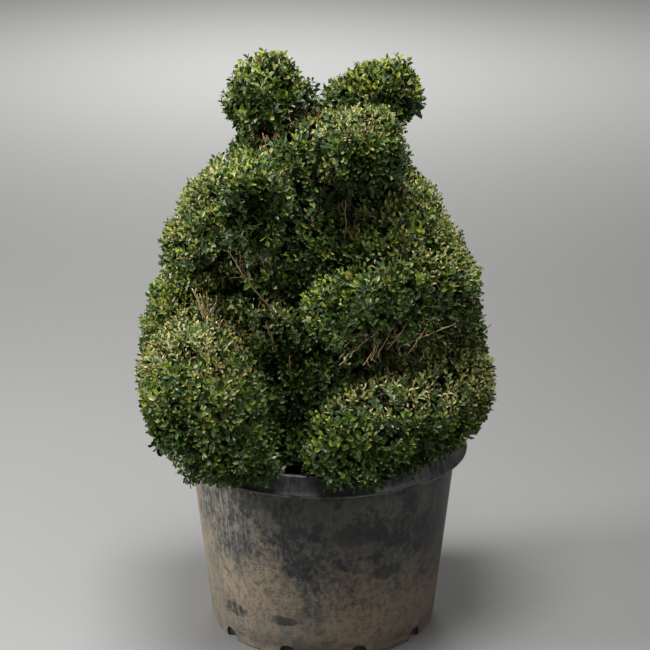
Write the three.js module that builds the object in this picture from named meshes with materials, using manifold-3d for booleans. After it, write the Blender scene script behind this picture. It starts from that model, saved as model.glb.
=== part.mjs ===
// Potted boxwood bear topiary
// A clipped boxwood shrub in the shape of a sitting bear with one paw raised, in a round nursery pot.
// Millimetres, +Z up, with the origin at the centre of the pot's flat underside. The bear faces -Y.
// Left and right are as seen from the front.

import * as THREE from 'three';
import { mergeVertices } from 'three/addons/utils/BufferGeometryUtils.js';
import Module from 'manifold-3d';

const wasm = await Module();
wasm.setup();

// Driving dimensions of the pot: a tapered wall with a lip that hangs down round it like a skirt
const POT = {
  sides: 40,
  height: 456,
  footRadius: 254,
  footBevel: 7,
  neckRadius: 299,
  neckHeight: 411,
  lipRadius: 325,
  lipShoulder: 312,
  lipTop: 307,
  lipRound: 7,
  lipEdge: 4,
  wall: 6,
  floor: 8,
};

// Arched drainage notches round the foot, through the wall and the edge of the floor
const DRAIN = { count: 10, width: 38, height: 30, depth: 46, over: 8, under: 1, arcPoints: 3 };

// Potting soil inside the pot, level round the trunk and sinking a little towards the wall
const SOIL = { level: 425, levelRadius: 110, edgeDrop: 7 };

// Gaps that pieces keep from each other
const SEAT = 0.3;
const CORE_CLEARANCE = 1.5;
const LEAF_CLEARANCE = 2;

// Trunk: foot, bend and top as points, radii for the stem and its tip, and the root flare with its
// buttresses. Its rings crowd towards the foot.
const TRUNK = {
  foot: [-14, 8, SOIL.level + SEAT],
  bend: [22, 40, 720],
  top: [-34, 25, 1057],
  sides: 10,
  rings: 7,
  crowding: 1.7,
  footRadius: 34,
  tipRadius: 12,
  flare: 27,
  flareHeight: 32,
  buttress: 0.16,
  buttressHeight: 48,
  buttresses: 5,
};

// Boughs: the height where each leaves the trunk, the bend of its curve, and the radii at its two ends
const BOUGH_SIDES = 5;
const BOUGH_RINGS = 3;
const BOUGHS = {
  foot_left: { height: 492, bend: [-95, -95, 500], radii: [13, 8] },
  leg_left: { height: 532, bend: [-115, -50, 575], radii: [17, 10] },
  leg_right: { height: 505, bend: [75, -35, 545], radii: [17, 10] },
  hip_left: { height: 575, bend: [-130, 55, 625], radii: [16, 9] },
  hip_right: { height: 555, bend: [115, 65, 590], radii: [16, 9] },
  shoulder_left: { height: 650, bend: [-130, 25, 760], radii: [17, 9] },
  paw_left: { height: 605, bend: [-115, -120, 730], radii: [14, 8] },
  shoulder_right: { height: 680, bend: [115, 45, 745], radii: [17, 9] },
  forearm_right: { height: 615, bend: [65, -100, 680], radii: [14, 9] },
  muzzle: { height: 815, bend: [45, -70, 930], radii: [11, 7] },
  ear_left: { height: 890, bend: [-85, 20, 1000], radii: [10, 6] },
  ear_right: { height: 860, bend: [92, 62, 985], radii: [10, 6] },
};

// Masses of foliage, each inside its own clipped lobe: centre, half sizes, turn in degrees about
// X, Y and Z, squareness and taper, and the hub that its stem runs to where that isn't the centre.
// An earlier mass keeps its whole lobe and a later one gives way.
const MASSES = {
  ear_left: { centre: [-112, 15, 1188], half: [90, 72, 116], turn: [0, -8, 0], power: 1.95, taper: -0.02 },
  ear_right: { centre: [106, 75, 1178], half: [110, 78, 84], turn: [0, -22, 0], power: 2.53, taper: 0.08 },
  muzzle: { centre: [76, -100, 1108], half: [95, 100, 96], turn: [0, -2, 20], power: 2.57 },
  paw_left: { centre: [-140, -165, 1012], half: [72, 105, 115], power: 2.5 },
  forearm_right: {
    centre: [154, -130, 787], half: [206, 105, 111], turn: [0, -7, 34], power: 2.56, taper: 0.05,
  },
  foot_left: { centre: [-200, -240, 522], half: [115, 125, 92], turn: [0, 0, -12], power: 2.5 },
  leg_right: { centre: [170, -130, 530], half: [135, 248, 99], turn: [9, -3, -42], power: 2.69 },
  leg_left: {
    centre: [-236, -150, 606], half: [138, 225, 166], turn: [12, -30, -12], power: 2.48, taper: -0.13,
    hub: [-262, -105, 652],
  },
  seat: { centre: [0, -5, 490], half: [255, 255, 55], power: 2.6, hub: [90, 40, 490] },
  head: { centre: [-34, 25, 1057], half: [175, 150, 120], turn: [0, -4, 0], power: 2.34, taper: 0.07 },
  shoulder_left: {
    centre: [-221, -10, 930], half: [103, 140, 158], turn: [0, 27, 0], power: 2.33, taper: -0.03,
  },
  shoulder_right: {
    centre: [187, 25, 870], half: [113, 150, 235], turn: [0, -34, 0], power: 2.27, taper: 0.08,
  },
  hip_left: {
    centre: [-279, 70, 680], half: [126, 150, 154], turn: [0, 6, 0], power: 2.41, taper: -0.14,
    hub: [-290, 118, 700],
  },
  hip_right: { centre: [232, 90, 629], half: [139, 150, 148], turn: [0, -1, 0], power: 2.4, taper: -0.17 },
  chest: { centre: [5, -62, 885], half: [190, 102, 170], turn: [-6, 0, 0], power: 2.3 },
  belly: { centre: [-10, -112, 645], half: [225, 98, 205], turn: [-4, 0, 0], power: 2.3 },
  back: { centre: [0, 140, 745], half: [262, 112, 305], turn: [4, 0, 0], power: 2.4, taper: -0.1 },
};
const SEED = 20611;

// The masses round the trunk stand on short stems straight off its side, which rise as they leave it
const SIDE_STEMS = {
  chest: { height: 770, radii: [10, 8] },
  belly: { height: 585, radii: [11, 8] },
  back: { height: 690, radii: [13, 9] },
  seat: { height: 480, radii: [12, 9] },
};
const SIDE_STEM_RISE = 12;

// A lobe's surface is a little uneven: three waves lift and lower it by a share of its size
const LUMP = { share: 0.03, wave: 4.5, phase: 1.7 };
const LEAST_WIDTH = 0.5;

// A mass is a core that stops short of its lobe by the leaf layer, and sprigs that fill the layer.
// A core is cut by the earlier lobes grown by a margin, and thinned to a tolerance.
const LEAF_LAYER = 19;
const CORE = { detail: 2, tolerance: 5 };
const CUTTER = { detail: 2, margin: 9 };

// A leaf: its size, how far along it is widest, how deep it is rooted, and how its length varies
const LEAF = { length: 58, width: 31, thick: 4, widest: 0.52, sunk: 14, shortest: 0.86, vary: 0.2 };
const TIP_LEAF = { sunk: 14, facing: [0.62, -0.48, 0.62] };

// A sprig: a twig, and a whorl of leaves on a ring round its foot that lean out by an angle
const TWIG = { sides: 3, radius: 4, standing: 17, sunk: 22 };
const SPRIG = {
  spacing: 155,
  shake: 0.16,
  leaves: 3,
  ring: 9,
  unevenness: 0.3,
  aside: [0.3, 0.2, 0.93],
  lean: 34,
  spreadLean: 16,
  leanStep: 3,
  leanLimit: 82,
};

// How exactly things are looked for: steps along a curve, directions round a lobe, and how far
// inside or outside a lobe a point has to be, as a share of the lobe's size
const CURVE_STEP = 0.002;
const ENTRY = { step: 0.01, outside: 1.08, inside: 0.97 };
const LIMB_PROBES = 24;
const LEAF_PROBES = [0.25, 0.5, 0.75];
const SEARCH_DIRECTIONS = 900;
const ON_SURFACE = 1.001;
const ROOTED = 1.03;

// The exponent that gives the area of an ellipsoid from its half sizes
const AREA_POWER = 1.6;

// Corners closer than this are one, and what joining and cutting may leave on a surface: an edge
// that is simplified away, and the shortest distance that is left
const SAME_CORNER = 0.001;
const FINEST = 0.2;
const SHORTEST = 0.08;
const HEIGHT_WEIGHT = 4;

// Another try changes a cut or a join a little: the cutters' margin, the core's inset, where a stem
// ends or starts, and where a bough starts
const TRIES = 8;
const RETRY = { margin: 0.5, inset: 1 / 3, stemEnd: 0.05, stemStart: 3, boughStart: 0.01, tipSunk: 1 };

// Finishes
const FINISH = {
  pot: { color: 0x4a4a49, roughness: 0.72, metalness: 0 },
  soil: { color: 0x3a2c22, roughness: 0.95, metalness: 0 },
  bark: { color: 0x8f7a5a, roughness: 0.88, metalness: 0 },
  foliage: { color: 0x5b6d3d, roughness: 0.6, metalness: 0 },
};

// Small tools

function vector(list) {
  return new THREE.Vector3(...list);
}

// A repeatable run of numbers from 0 to 1
function seededRandom(seed) {
  let state = seed >>> 0;
  const stride = 0x6d2b79f5;
  return () => {
    state = (state + stride) >>> 0;
    let mixed = Math.imul(state ^ (state >>> 15), 1 | state);
    mixed = (mixed + Math.imul(mixed ^ (mixed >>> 7), 61 | mixed)) ^ mixed;
    return ((mixed ^ (mixed >>> 14)) >>> 0) / 2 ** 32;
  };
}

// A closed geometry as a solid that can be joined and cut, with its faces turned out
function solidOf(geometry) {
  geometry.deleteAttribute('normal');
  geometry.deleteAttribute('uv');
  const merged = mergeVertices(geometry, SAME_CORNER);
  const index = merged.index.array;
  const corners = [];
  for (let i = 0; i < index.length; i += 3) {
    const [a, b, c] = [index[i], index[i + 1], index[i + 2]];
    if (a !== b && b !== c && c !== a) {
      corners.push([a, b, c]);
    }
  }
  const build = (triangles) => new wasm.Manifold(new wasm.Mesh({
    numProp: 3,
    vertProperties: Float32Array.from(merged.attributes.position.array),
    triVerts: Uint32Array.from(triangles.flat()),
  }));
  const solid = build(corners);
  return solid.volume() > 0 ? solid : build(corners.map(([a, b, c]) => [a, c, b]));
}

function geometryOf(solid) {
  const mesh = solid.getMesh();
  const geometry = new THREE.BufferGeometry();
  geometry.setAttribute('position', new THREE.BufferAttribute(mesh.vertProperties, 3));
  geometry.setIndex(new THREE.BufferAttribute(mesh.triVerts, 1));
  geometry.computeVertexNormals();
  return geometry;
}

// The main piece of a solid: a sealed hollow comes out filled, and a loose scrap is dropped
function mainPiece(solid) {
  return solid.decompose().reduce((best, piece) => (piece.volume() > best.volume() ? piece : best));
}

// Joining and cutting can leave slivers and corners that all but touch. This is the least distance
// between two corners of a solid, or a multiple of its thinnest triangle's height if that is less.
function fineness(solid) {
  const { vertProperties, triVerts } = solid.getMesh();
  const corners = [];
  for (let i = 0; i < vertProperties.length; i += 3) {
    corners.push(new THREE.Vector3().fromArray(vertProperties, i));
  }
  let least = Infinity;
  for (let i = 0; i < triVerts.length; i += 3) {
    const [a, b, c] = [corners[triVerts[i]], corners[triVerts[i + 1]], corners[triVerts[i + 2]]];
    const longest = Math.max(a.distanceTo(b), b.distanceTo(c), c.distanceTo(a));
    const doubleArea = b.clone().sub(a).cross(c.clone().sub(a)).length();
    least = Math.min(least, HEIGHT_WEIGHT * doubleArea / longest);
  }
  corners.sort((a, b) => a.x - b.x);
  corners.forEach((corner, i) => {
    for (let j = i + 1; j < corners.length && corners[j].x - corner.x < least; j += 1) {
      least = Math.min(least, corner.distanceTo(corners[j]));
    }
  });
  return least;
}

// The first of several tries whose solid is fine enough, or else the best of them
function firstClean(make) {
  let best = null;
  let finest = -1;
  for (let attempt = 0; attempt < TRIES && finest < SHORTEST; attempt += 1) {
    const solid = mainPiece(make(attempt).asOriginal().simplify(FINEST));
    const found = fineness(solid);
    if (found > finest) {
      best = solid;
      finest = found;
    }
  }
  return best;
}

function cutAll(solid, cutters) {
  return cutters.reduce((left, cutter) => left.subtract(cutter), solid);
}

function turned(profile) {
  const points = profile.map(([radius, height]) => new THREE.Vector2(radius, height));
  return new THREE.LatheGeometry(points, POT.sides).rotateX(Math.PI / 2);
}

// Pot and soil

function wallRadius(height) {
  return POT.footRadius + (POT.neckRadius - POT.footRadius) * height / POT.neckHeight;
}

function potBody() {
  const { height, wall, lipRadius, lipShoulder, lipTop, lipRound, lipEdge, neckHeight } = POT;
  const underLip = height - 2 * lipRound;
  const profile = [
    [0, 0],
    [POT.footRadius - POT.footBevel, 0],
    [wallRadius(POT.footBevel), POT.footBevel],
    [wallRadius(neckHeight), neckHeight],
    [wallRadius(underLip), underLip],
    [lipShoulder - wall, underLip],
    [lipRadius - lipEdge, neckHeight],
    [lipRadius, neckHeight],
    [lipShoulder, height - lipRound],
    [lipTop, height],
    [wallRadius(height) - wall + lipRound, height],
    [wallRadius(height) - wall, height - lipRound],
    [wallRadius(POT.floor) - wall, POT.floor],
    [0, POT.floor],
  ];
  return solidOf(turned(profile));
}

function drainNotch(angle) {
  const { width, height, depth, over, under, arcPoints } = DRAIN;
  const outline = new THREE.Shape();
  outline.moveTo(-width / 2, -under);
  outline.lineTo(width / 2, -under);
  outline.lineTo(width / 2, height - width / 2);
  outline.absarc(0, height - width / 2, width / 2, 0, Math.PI);
  outline.closePath();
  const settings = { depth, bevelEnabled: false, curveSegments: arcPoints };
  const notch = new THREE.ExtrudeGeometry(outline, settings);
  notch.rotateX(Math.PI / 2);
  notch.translate(0, depth - POT.footRadius - over, 0);
  notch.rotateZ(angle);
  return solidOf(notch);
}

function pot() {
  const notches = [];
  for (let i = 0; i < DRAIN.count; i += 1) {
    notches.push(drainNotch((i + 0.5) * 2 * Math.PI / DRAIN.count));
  }
  return cutAll(potBody(), notches).asOriginal().simplify(FINEST);
}

function soil() {
  const rim = SOIL.level - SOIL.edgeDrop;
  const inside = (height) => wallRadius(height) - POT.wall - SEAT;
  const profile = [
    [0, POT.floor + SEAT],
    [inside(POT.floor), POT.floor + SEAT],
    [inside(rim), rim],
    [(inside(rim) + SOIL.levelRadius) / 2, SOIL.level - SOIL.edgeDrop / 4],
    [SOIL.levelRadius, SOIL.level],
    [0, SOIL.level],
  ];
  return solidOf(turned(profile));
}

// A point that the pot and its soil keep for themselves
function inPot(point, clearance) {
  const reach = Math.hypot(point.x, point.y);
  return reach < POT.lipRadius + clearance && point.z < POT.height + clearance;
}

function potCutter() {
  const radius = (POT.lipRadius + CORE_CLEARANCE) / Math.cos(Math.PI / POT.sides);
  const top = POT.height + CORE_CLEARANCE;
  const plug = new THREE.CylinderGeometry(radius, radius, top, POT.sides).rotateX(Math.PI / 2);
  return solidOf(plug.translate(0, 0, top / 2));
}

// Limbs: a curve from the trunk's foot or side to the hub of a mass, with a radius along it

function trunkRadius(t) {
  const rise = t * (TRUNK.top[2] - TRUNK.foot[2]);
  const taper = TRUNK.tipRadius + (TRUNK.footRadius - TRUNK.tipRadius) * (1 - t);
  return taper + TRUNK.flare * Math.exp(-rise / TRUNK.flareHeight);
}

function makeTrunk() {
  const { foot, bend, top, sides, rings, crowding } = TRUNK;
  const curve = new THREE.QuadraticBezierCurve3(vector(foot), vector(bend), vector(top));
  const side = new THREE.Vector3(0, 1, 0);
  return { name: 'trunk', curve, side, sides, rings, crowding, radiusAt: trunkRadius };
}

function pointAtHeight(curve, height) {
  let t = 0;
  while (curve.getPoint(t).z < height) {
    t += CURVE_STEP;
  }
  return curve.getPoint(t);
}

function makeBranch(name, trunk, start, bend, hub, radii) {
  const from = pointAtHeight(trunk.curve, start);
  const curve = new THREE.QuadraticBezierCurve3(from, bend, hub);
  const side = bend.clone().sub(from).cross(hub.clone().sub(bend)).normalize();
  const radiusAt = (t) => radii[0] + (radii[1] - radii[0]) * t;
  return { name, curve, side, sides: BOUGH_SIDES, rings: BOUGH_RINGS, crowding: 1, radiusAt };
}

// The solid round a stretch of a limb's curve, grown all round by a clearance
function limbSolid(limb, from, to, grow = 0) {
  const shape = new THREE.CylinderGeometry(1, 1, 1, limb.sides, limb.rings);
  const position = shape.attributes.position;
  const point = new THREE.Vector3();
  for (let i = 0; i < position.count; i += 1) {
    const share = position.getY(i) + 0.5;
    const t = from + (to - from) * share ** limb.crowding;
    const tangent = limb.curve.getTangent(Math.min(Math.max(t, 0), 1));
    const across = new THREE.Vector3().crossVectors(tangent, limb.side).normalize();
    const along = new THREE.Vector3().crossVectors(across, tangent).normalize();
    const around = Math.atan2(position.getZ(i), position.getX(i));
    const radius = limb.radiusAt(t) * swell(limb, t, around) + grow;
    const reach = radius * Math.hypot(position.getX(i), position.getZ(i));
    point.copy(limb.curve.getPoint(t));
    point.addScaledVector(across, Math.cos(around) * reach);
    point.addScaledVector(along, Math.sin(around) * reach);
    const atGround = limb.name === 'trunk' && t <= 0;
    position.setXYZ(i, point.x, point.y, atGround ? TRUNK.foot[2] : point.z);
  }
  return solidOf(shape);
}

// Buttresses of the trunk's foot, which fade out above the flare
function swell(limb, t, around) {
  if (limb.name !== 'trunk') {
    return 1;
  }
  const rise = t * (TRUNK.top[2] - TRUNK.foot[2]);
  const fade = Math.exp(-rise / TRUNK.buttressHeight);
  return 1 + TRUNK.buttress * Math.cos(TRUNK.buttresses * around) * fade;
}

function nearLimb(limb, point, clearance) {
  for (let i = 0; i <= LIMB_PROBES; i += 1) {
    const t = limb.end * i / LIMB_PROBES;
    const allowed = limb.radiusAt(t) * (1 + TRUNK.buttress) + clearance;
    if (limb.curve.getPoint(t).distanceTo(point) < allowed) {
      return true;
    }
  }
  return false;
}

// Lobes: rounded boxes with a little taper and a slightly uneven clipped surface

function makeLobe(name, number) {
  const { centre, half, turn = [0, 0, 0], power, taper = 0, hub = centre } = MASSES[name];
  const [aboutX, aboutY, aboutZ] = turn.map((angle) => THREE.MathUtils.degToRad(angle));
  const euler = new THREE.Euler(aboutX, aboutY, aboutZ, 'ZXY');
  const matrix = new THREE.Matrix4().makeRotationFromEuler(euler).setPosition(vector(centre));
  return {
    name,
    half: vector(half),
    power,
    taper,
    hub: vector(hub),
    phase: number * LUMP.phase,
    matrix,
    inverse: matrix.clone().invert(),
    random: seededRandom(SEED + number),
  };
}

function lump(lobe, direction) {
  const waves = Math.sin(LUMP.wave * direction.x + lobe.phase)
    + Math.sin(LUMP.wave * direction.y + 2 * lobe.phase)
    + Math.sin(LUMP.wave * direction.z + 3 * lobe.phase);
  return 1 + LUMP.share * waves / 3;
}

function spread(lobe, x, y, z) {
  const n = lobe.power;
  return (Math.abs(x) ** n + Math.abs(y) ** n + Math.abs(z) ** n) ** (1 / n);
}

// The point of a lobe's surface in a direction, moved in by an inset
function lobePoint(lobe, direction, inset) {
  const reach = lump(lobe, direction) / spread(lobe, direction.x, direction.y, direction.z);
  const height = direction.z * reach;
  const width = reach * (1 + lobe.taper * height);
  const { x, y, z } = lobe.half;
  return new THREE.Vector3(
    (x - inset) * direction.x * width,
    (y - inset) * direction.y * width,
    (z - inset) * height,
  ).applyMatrix4(lobe.matrix);
}

// How far out a point lies in a lobe: 1 on its surface, less inside
function lobeDepth(lobe, point, inset = 0) {
  const local = point.clone().applyMatrix4(lobe.inverse);
  const z = local.z / (lobe.half.z - inset);
  const width = Math.max(1 + lobe.taper * z, LEAST_WIDTH);
  const x = local.x / (lobe.half.x - inset) / width;
  const y = local.y / (lobe.half.y - inset) / width;
  const direction = new THREE.Vector3(x, y, z).normalize();
  return spread(lobe, x, y, z) / lump(lobe, direction);
}

function lobeSolid(lobe, detail, inset) {
  const ball = new THREE.IcosahedronGeometry(1, detail);
  const position = ball.attributes.position;
  const direction = new THREE.Vector3();
  for (let i = 0; i < position.count; i += 1) {
    direction.fromBufferAttribute(position, i).normalize();
    const point = lobePoint(lobe, direction, inset);
    position.setXYZ(i, point.x, point.y, point.z);
  }
  return solidOf(ball);
}

// Evenly spread directions
function directions(count) {
  const golden = Math.PI * (3 - Math.sqrt(5));
  return Array.from({ length: count }, (_, i) => {
    const z = 1 - (2 * i + 1) / count;
    const ring = Math.sqrt(1 - z * z);
    return new THREE.Vector3(ring * Math.cos(golden * i), ring * Math.sin(golden * i), z);
  });
}

// A lobe's furthest point towards a side, as a direction
function furthest(lobe, side) {
  const score = (direction) => lobePoint(lobe, direction, 0).dot(side);
  const further = (best, direction) => (score(direction) > score(best) ? direction : best);
  return directions(SEARCH_DIRECTIONS).reduce(further);
}

// Where a limb enters the core of its mass, counted along its curve
function entryOf(limb, lobe, rivals) {
  const inCore = (t) => {
    const point = limb.curve.getPoint(t);
    const clear = rivals.every((rival) => lobeDepth(rival, point, -CUTTER.margin) > ENTRY.outside);
    return clear && lobeDepth(lobe, point, LEAF_LAYER) < ENTRY.inside && !inPot(point, CORE_CLEARANCE);
  };
  if (!inCore(1)) {
    throw new Error(`the hub of ${lobe.name} is outside its core`);
  }
  let t = 1;
  while (inCore(t - ENTRY.step)) {
    t -= ENTRY.step;
  }
  return t;
}

// Leaves and sprigs

// A leaf of eight faces from its root to its tip, its blade facing a given way
function leafPoints(root, tip, face) {
  const axis = tip.clone().sub(root).normalize();
  const across = new THREE.Vector3().crossVectors(axis, face).normalize();
  const up = new THREE.Vector3().crossVectors(across, axis);
  const widest = root.clone().lerp(tip, LEAF.widest);
  const edge = (direction, reach) => widest.clone().addScaledVector(direction, reach);
  return [
    root,
    tip,
    edge(across, LEAF.width / 2),
    edge(across, -LEAF.width / 2),
    edge(up, LEAF.thick / 2),
    edge(up, -LEAF.thick / 2),
  ];
}

const LEAF_FACES = [0, 2, 4, 0, 4, 3, 0, 3, 5, 0, 5, 2, 1, 4, 2, 1, 3, 4, 1, 5, 3, 1, 2, 5];

function leafSolid(points) {
  const geometry = new THREE.BufferGeometry().setFromPoints(points);
  geometry.setIndex(LEAF_FACES);
  return solidOf(geometry);
}

function twigSolid(root, tip) {
  const twig = new THREE.ConeGeometry(TWIG.radius, root.distanceTo(tip), TWIG.sides);
  const up = new THREE.Vector3(0, 1, 0);
  const turn = new THREE.Quaternion().setFromUnitVectors(up, tip.clone().sub(root).normalize());
  twig.applyQuaternion(turn);
  const middle = root.clone().add(tip).multiplyScalar(0.5);
  return solidOf(twig.translate(middle.x, middle.y, middle.z));
}

// Points along a leaf's axis and edges, to test what it would touch
function leafProbes(points) {
  const [root, tip, left, right] = points;
  const probes = [...points];
  for (const share of LEAF_PROBES) {
    for (const [from, to] of [[root, tip], [root, left], [root, right], [left, tip], [right, tip]]) {
      probes.push(from.clone().lerp(to, share));
    }
  }
  return probes;
}

// A probe is free when it is in its own lobe and clear of the other lobes, the limbs and the pot
function isFree(point, space) {
  return lobeDepth(space.lobe, point) <= ON_SURFACE
    && space.rivals.every((rival) => lobeDepth(rival, point, -LEAF_CLEARANCE) > 1)
    && !space.limbs.some((limb) => nearLimb(limb, point, LEAF_CLEARANCE))
    && !inPot(point, LEAF_CLEARANCE);
}

// A root is sound when the core is there to hold it
function isRooted(point, space) {
  return space.rivals.every((rival) => lobeDepth(rival, point, -CUTTER.margin) > ROOTED)
    && !space.limbs.some((limb) => nearLimb(limb, point, 2 * LEAF_CLEARANCE))
    && !inPot(point, 2 * LEAF_CLEARANCE);
}

function outward(lobe, direction) {
  const core = lobePoint(lobe, direction, LEAF_LAYER);
  return lobePoint(lobe, direction, 0).sub(core).normalize();
}

// A leaf out of the core, laid back from the axis until its tip stays inside the clipped surface
function laidLeaf(lobe, base, axis, side, size, lean) {
  const angle = THREE.MathUtils.degToRad(lean);
  const run = axis.clone().multiplyScalar(Math.cos(angle)).addScaledVector(side, Math.sin(angle));
  const root = base.clone().addScaledVector(run, -LEAF.sunk);
  const tip = root.clone().addScaledVector(run, size);
  if (lobeDepth(lobe, tip) > 1 && lean < SPRIG.leanLimit) {
    return laidLeaf(lobe, base, axis, side, size, lean + SPRIG.leanStep);
  }
  return leafPoints(root, tip, axis);
}

// A sprig out of the core, without the leaves that would leave the space
function sprig(space, direction) {
  const { lobe } = space;
  const core = lobePoint(lobe, direction, LEAF_LAYER);
  const axis = outward(lobe, direction);
  const root = core.clone().addScaledVector(axis, -TWIG.sunk);
  const tip = core.clone().addScaledVector(axis, TWIG.standing);
  if (![root, core].every((point) => isRooted(point, space)) || !isFree(tip, space)) {
    return [];
  }
  const solids = [twigSolid(root, tip)];
  const sideways = axis.clone().cross(vector(SPRIG.aside)).normalize();
  const start = lobe.random() * 2 * Math.PI;
  for (let i = 0; i < SPRIG.leaves; i += 1) {
    const turns = (i + SPRIG.unevenness * (lobe.random() - 0.5)) / SPRIG.leaves;
    const side = sideways.clone().applyAxisAngle(axis, start + turns * 2 * Math.PI);
    const size = LEAF.length * (LEAF.shortest + LEAF.vary * lobe.random());
    const lean = SPRIG.lean + SPRIG.spreadLean * lobe.random();
    const base = core.clone().addScaledVector(side, SPRIG.ring);
    const points = laidLeaf(lobe, base, axis, side, size, lean);
    if (leafProbes(points).every((point) => isFree(point, space))) {
      solids.push(leafSolid(points));
    }
  }
  return solids.length > 1 ? solids : [];
}

// A single leaf that reaches exactly to the lobe's surface
function tipLeaf(space, direction, attempt) {
  const { lobe } = space;
  const core = lobePoint(lobe, direction, LEAF_LAYER);
  const tip = lobePoint(lobe, direction, 0);
  const axis = outward(lobe, direction);
  const root = core.clone().addScaledVector(axis, -TIP_LEAF.sunk - RETRY.tipSunk * attempt);
  const face = vector(TIP_LEAF.facing).cross(axis).normalize();
  const points = leafPoints(root, tip, face);
  const free = leafProbes(points).slice(1).every((point) => isFree(point, space));
  return free && isRooted(root, space) && isRooted(core, space) ? [leafSolid(points)] : [];
}

// A tip leaf stands at a lobe's furthest point to each side and at its top
function tipDirections(lobe) {
  const sides = [[1, 0, 0], [-1, 0, 0], [0, 1, 0], [0, -1, 0], [0, 0, 1]];
  return sides.map((side) => furthest(lobe, vector(side)));
}

// Sprigs stand evenly over a lobe, one for each square of the spacing
function sprigDirections(lobe) {
  const { x, y, z } = lobe.half;
  const products = [x * y, x * z, y * z].map((product) => product ** AREA_POWER);
  const mean = (products[0] + products[1] + products[2]) / 3;
  const area = 4 * Math.PI * mean ** (1 / AREA_POWER);
  return directions(Math.round(area / SPRIG.spacing ** 2));
}

function shaken(lobe, direction, amount) {
  const shake = () => amount * (lobe.random() - 0.5);
  return direction.clone().add(new THREE.Vector3(shake(), shake(), shake())).normalize();
}

// The mass with one more leaf or sprig, drawn again where it would leave a sliver
function grown(mass, draw) {
  const allowed = Math.min(SHORTEST, fineness(mass));
  for (let attempt = 0; attempt < TRIES; attempt += 1) {
    const solids = draw(attempt);
    if (solids.length > 0) {
      const next = mainPiece(wasm.Manifold.union([mass, ...solids]).asOriginal().simplify(FINEST));
      if (fineness(next) >= allowed) {
        return next;
      }
    }
  }
  return mass;
}

// A mass: its core cut clear of everything, then its stem, tip leaves and sprigs fused on one by one
function massSolid(space, makeStem, limbCutters) {
  const { lobe, rivals } = space;
  const core = firstClean((attempt) => {
    const margin = CUTTER.margin + RETRY.margin * attempt;
    const inset = LEAF_LAYER + RETRY.inset * attempt;
    const cutters = rivals.map((rival) => lobeSolid(rival, CUTTER.detail, -margin));
    const block = cutAll(lobeSolid(lobe, CORE.detail, inset), cutters);
    return cutAll(mainPiece(block.asOriginal().simplify(CORE.tolerance)), limbCutters);
  });
  let mass = firstClean((attempt) => core.add(makeStem(attempt)));
  for (const direction of tipDirections(lobe)) {
    mass = grown(mass, (attempt) => tipLeaf(space, direction, attempt));
  }
  for (const direction of sprigDirections(lobe)) {
    mass = grown(mass, () => sprig(space, shaken(lobe, direction, SPRIG.shake)));
  }
  return mass;
}

// The shrub

// The trunk and the boughs, each ending where it enters the core of its own mass
function makeLimbs(lobes) {
  const trunk = makeTrunk();
  const limbOf = { head: trunk };
  for (const [name, { height, bend, radii }] of Object.entries(BOUGHS)) {
    const { hub } = lobes.find((lobe) => lobe.name === name);
    limbOf[name] = makeBranch(`bough_${name}`, trunk, height, vector(bend), hub, radii);
  }
  lobes.forEach((lobe, number) => {
    const limb = limbOf[lobe.name];
    if (limb) {
      limb.end = entryOf(limb, lobe, lobes.slice(0, number));
    }
  });
  return limbOf;
}

// A stem that carries on from the end of a limb, to the hub of its mass
function stemOnLimb(limb, attempt) {
  const start = limb.end + SEAT / limb.curve.getLength();
  return limbSolid(limb, start, 1 - RETRY.stemEnd * attempt);
}

// A stem that comes off the trunk's side
function stemOnTrunk(lobe, trunk, seated, attempt) {
  const { height, radii } = SIDE_STEMS[lobe.name];
  const start = height + RETRY.stemStart * attempt;
  const bend = pointAtHeight(trunk.curve, start + SIDE_STEM_RISE).lerp(lobe.hub, 0.5);
  const branch = makeBranch('stem', trunk, start, bend, lobe.hub, radii);
  return mainPiece(limbSolid(branch, 0, 1).subtract(seated));
}

function shrub() {
  const lobes = Object.keys(MASSES).map(makeLobe);
  const limbOf = makeLimbs(lobes);
  const limbs = Object.values(limbOf);
  const trunk = limbOf.head;
  const seated = limbSolid(trunk, 0, trunk.end, SEAT);
  const pockets = limbs.map((limb) => (
    limbSolid(limb, 0, limb.end + 1 / limb.curve.getLength(), CORE_CLEARANCE)
  ));
  const nodes = [{ name: 'trunk', finish: 'bark', solid: limbSolid(trunk, 0, trunk.end) }];
  for (const limb of limbs.filter((other) => other !== trunk)) {
    const cut = (attempt) => limbSolid(limb, RETRY.boughStart * attempt, limb.end).subtract(seated);
    nodes.push({ name: limb.name, finish: 'bark', solid: firstClean(cut) });
  }
  lobes.forEach((lobe, number) => {
    const space = { lobe, rivals: lobes.slice(0, number), limbs };
    const limb = limbOf[lobe.name];
    const makeStem = (attempt) => (
      limb ? stemOnLimb(limb, attempt) : stemOnTrunk(lobe, trunk, seated, attempt)
    );
    const solid = massSolid(space, makeStem, [...pockets, potCutter()]);
    nodes.push({ name: `mass_${lobe.name}`, finish: 'foliage', solid });
  });
  return nodes;
}

// Assembly

const topiary = new THREE.Group();
topiary.name = 'potted_boxwood_bear_topiary';

function addNode({ name, finish, solid }) {
  const mesh = new THREE.Mesh(geometryOf(solid), new THREE.MeshStandardMaterial(FINISH[finish]));
  mesh.name = name;
  topiary.add(mesh);
}

addNode({ name: 'pot', finish: 'pot', solid: pot() });
addNode({ name: 'soil', finish: 'soil', solid: soil() });
shrub().forEach(addNode);

export default topiary;
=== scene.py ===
"""Potted boxwood bear topiary.

A clipped boxwood shrub in the shape of a sitting bear with one paw raised, in a round nursery pot.
Metres, +Z up, with the origin at the centre of the pot's flat underside. The bear faces -Y, and
left and right are as seen from the front.
"""

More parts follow.
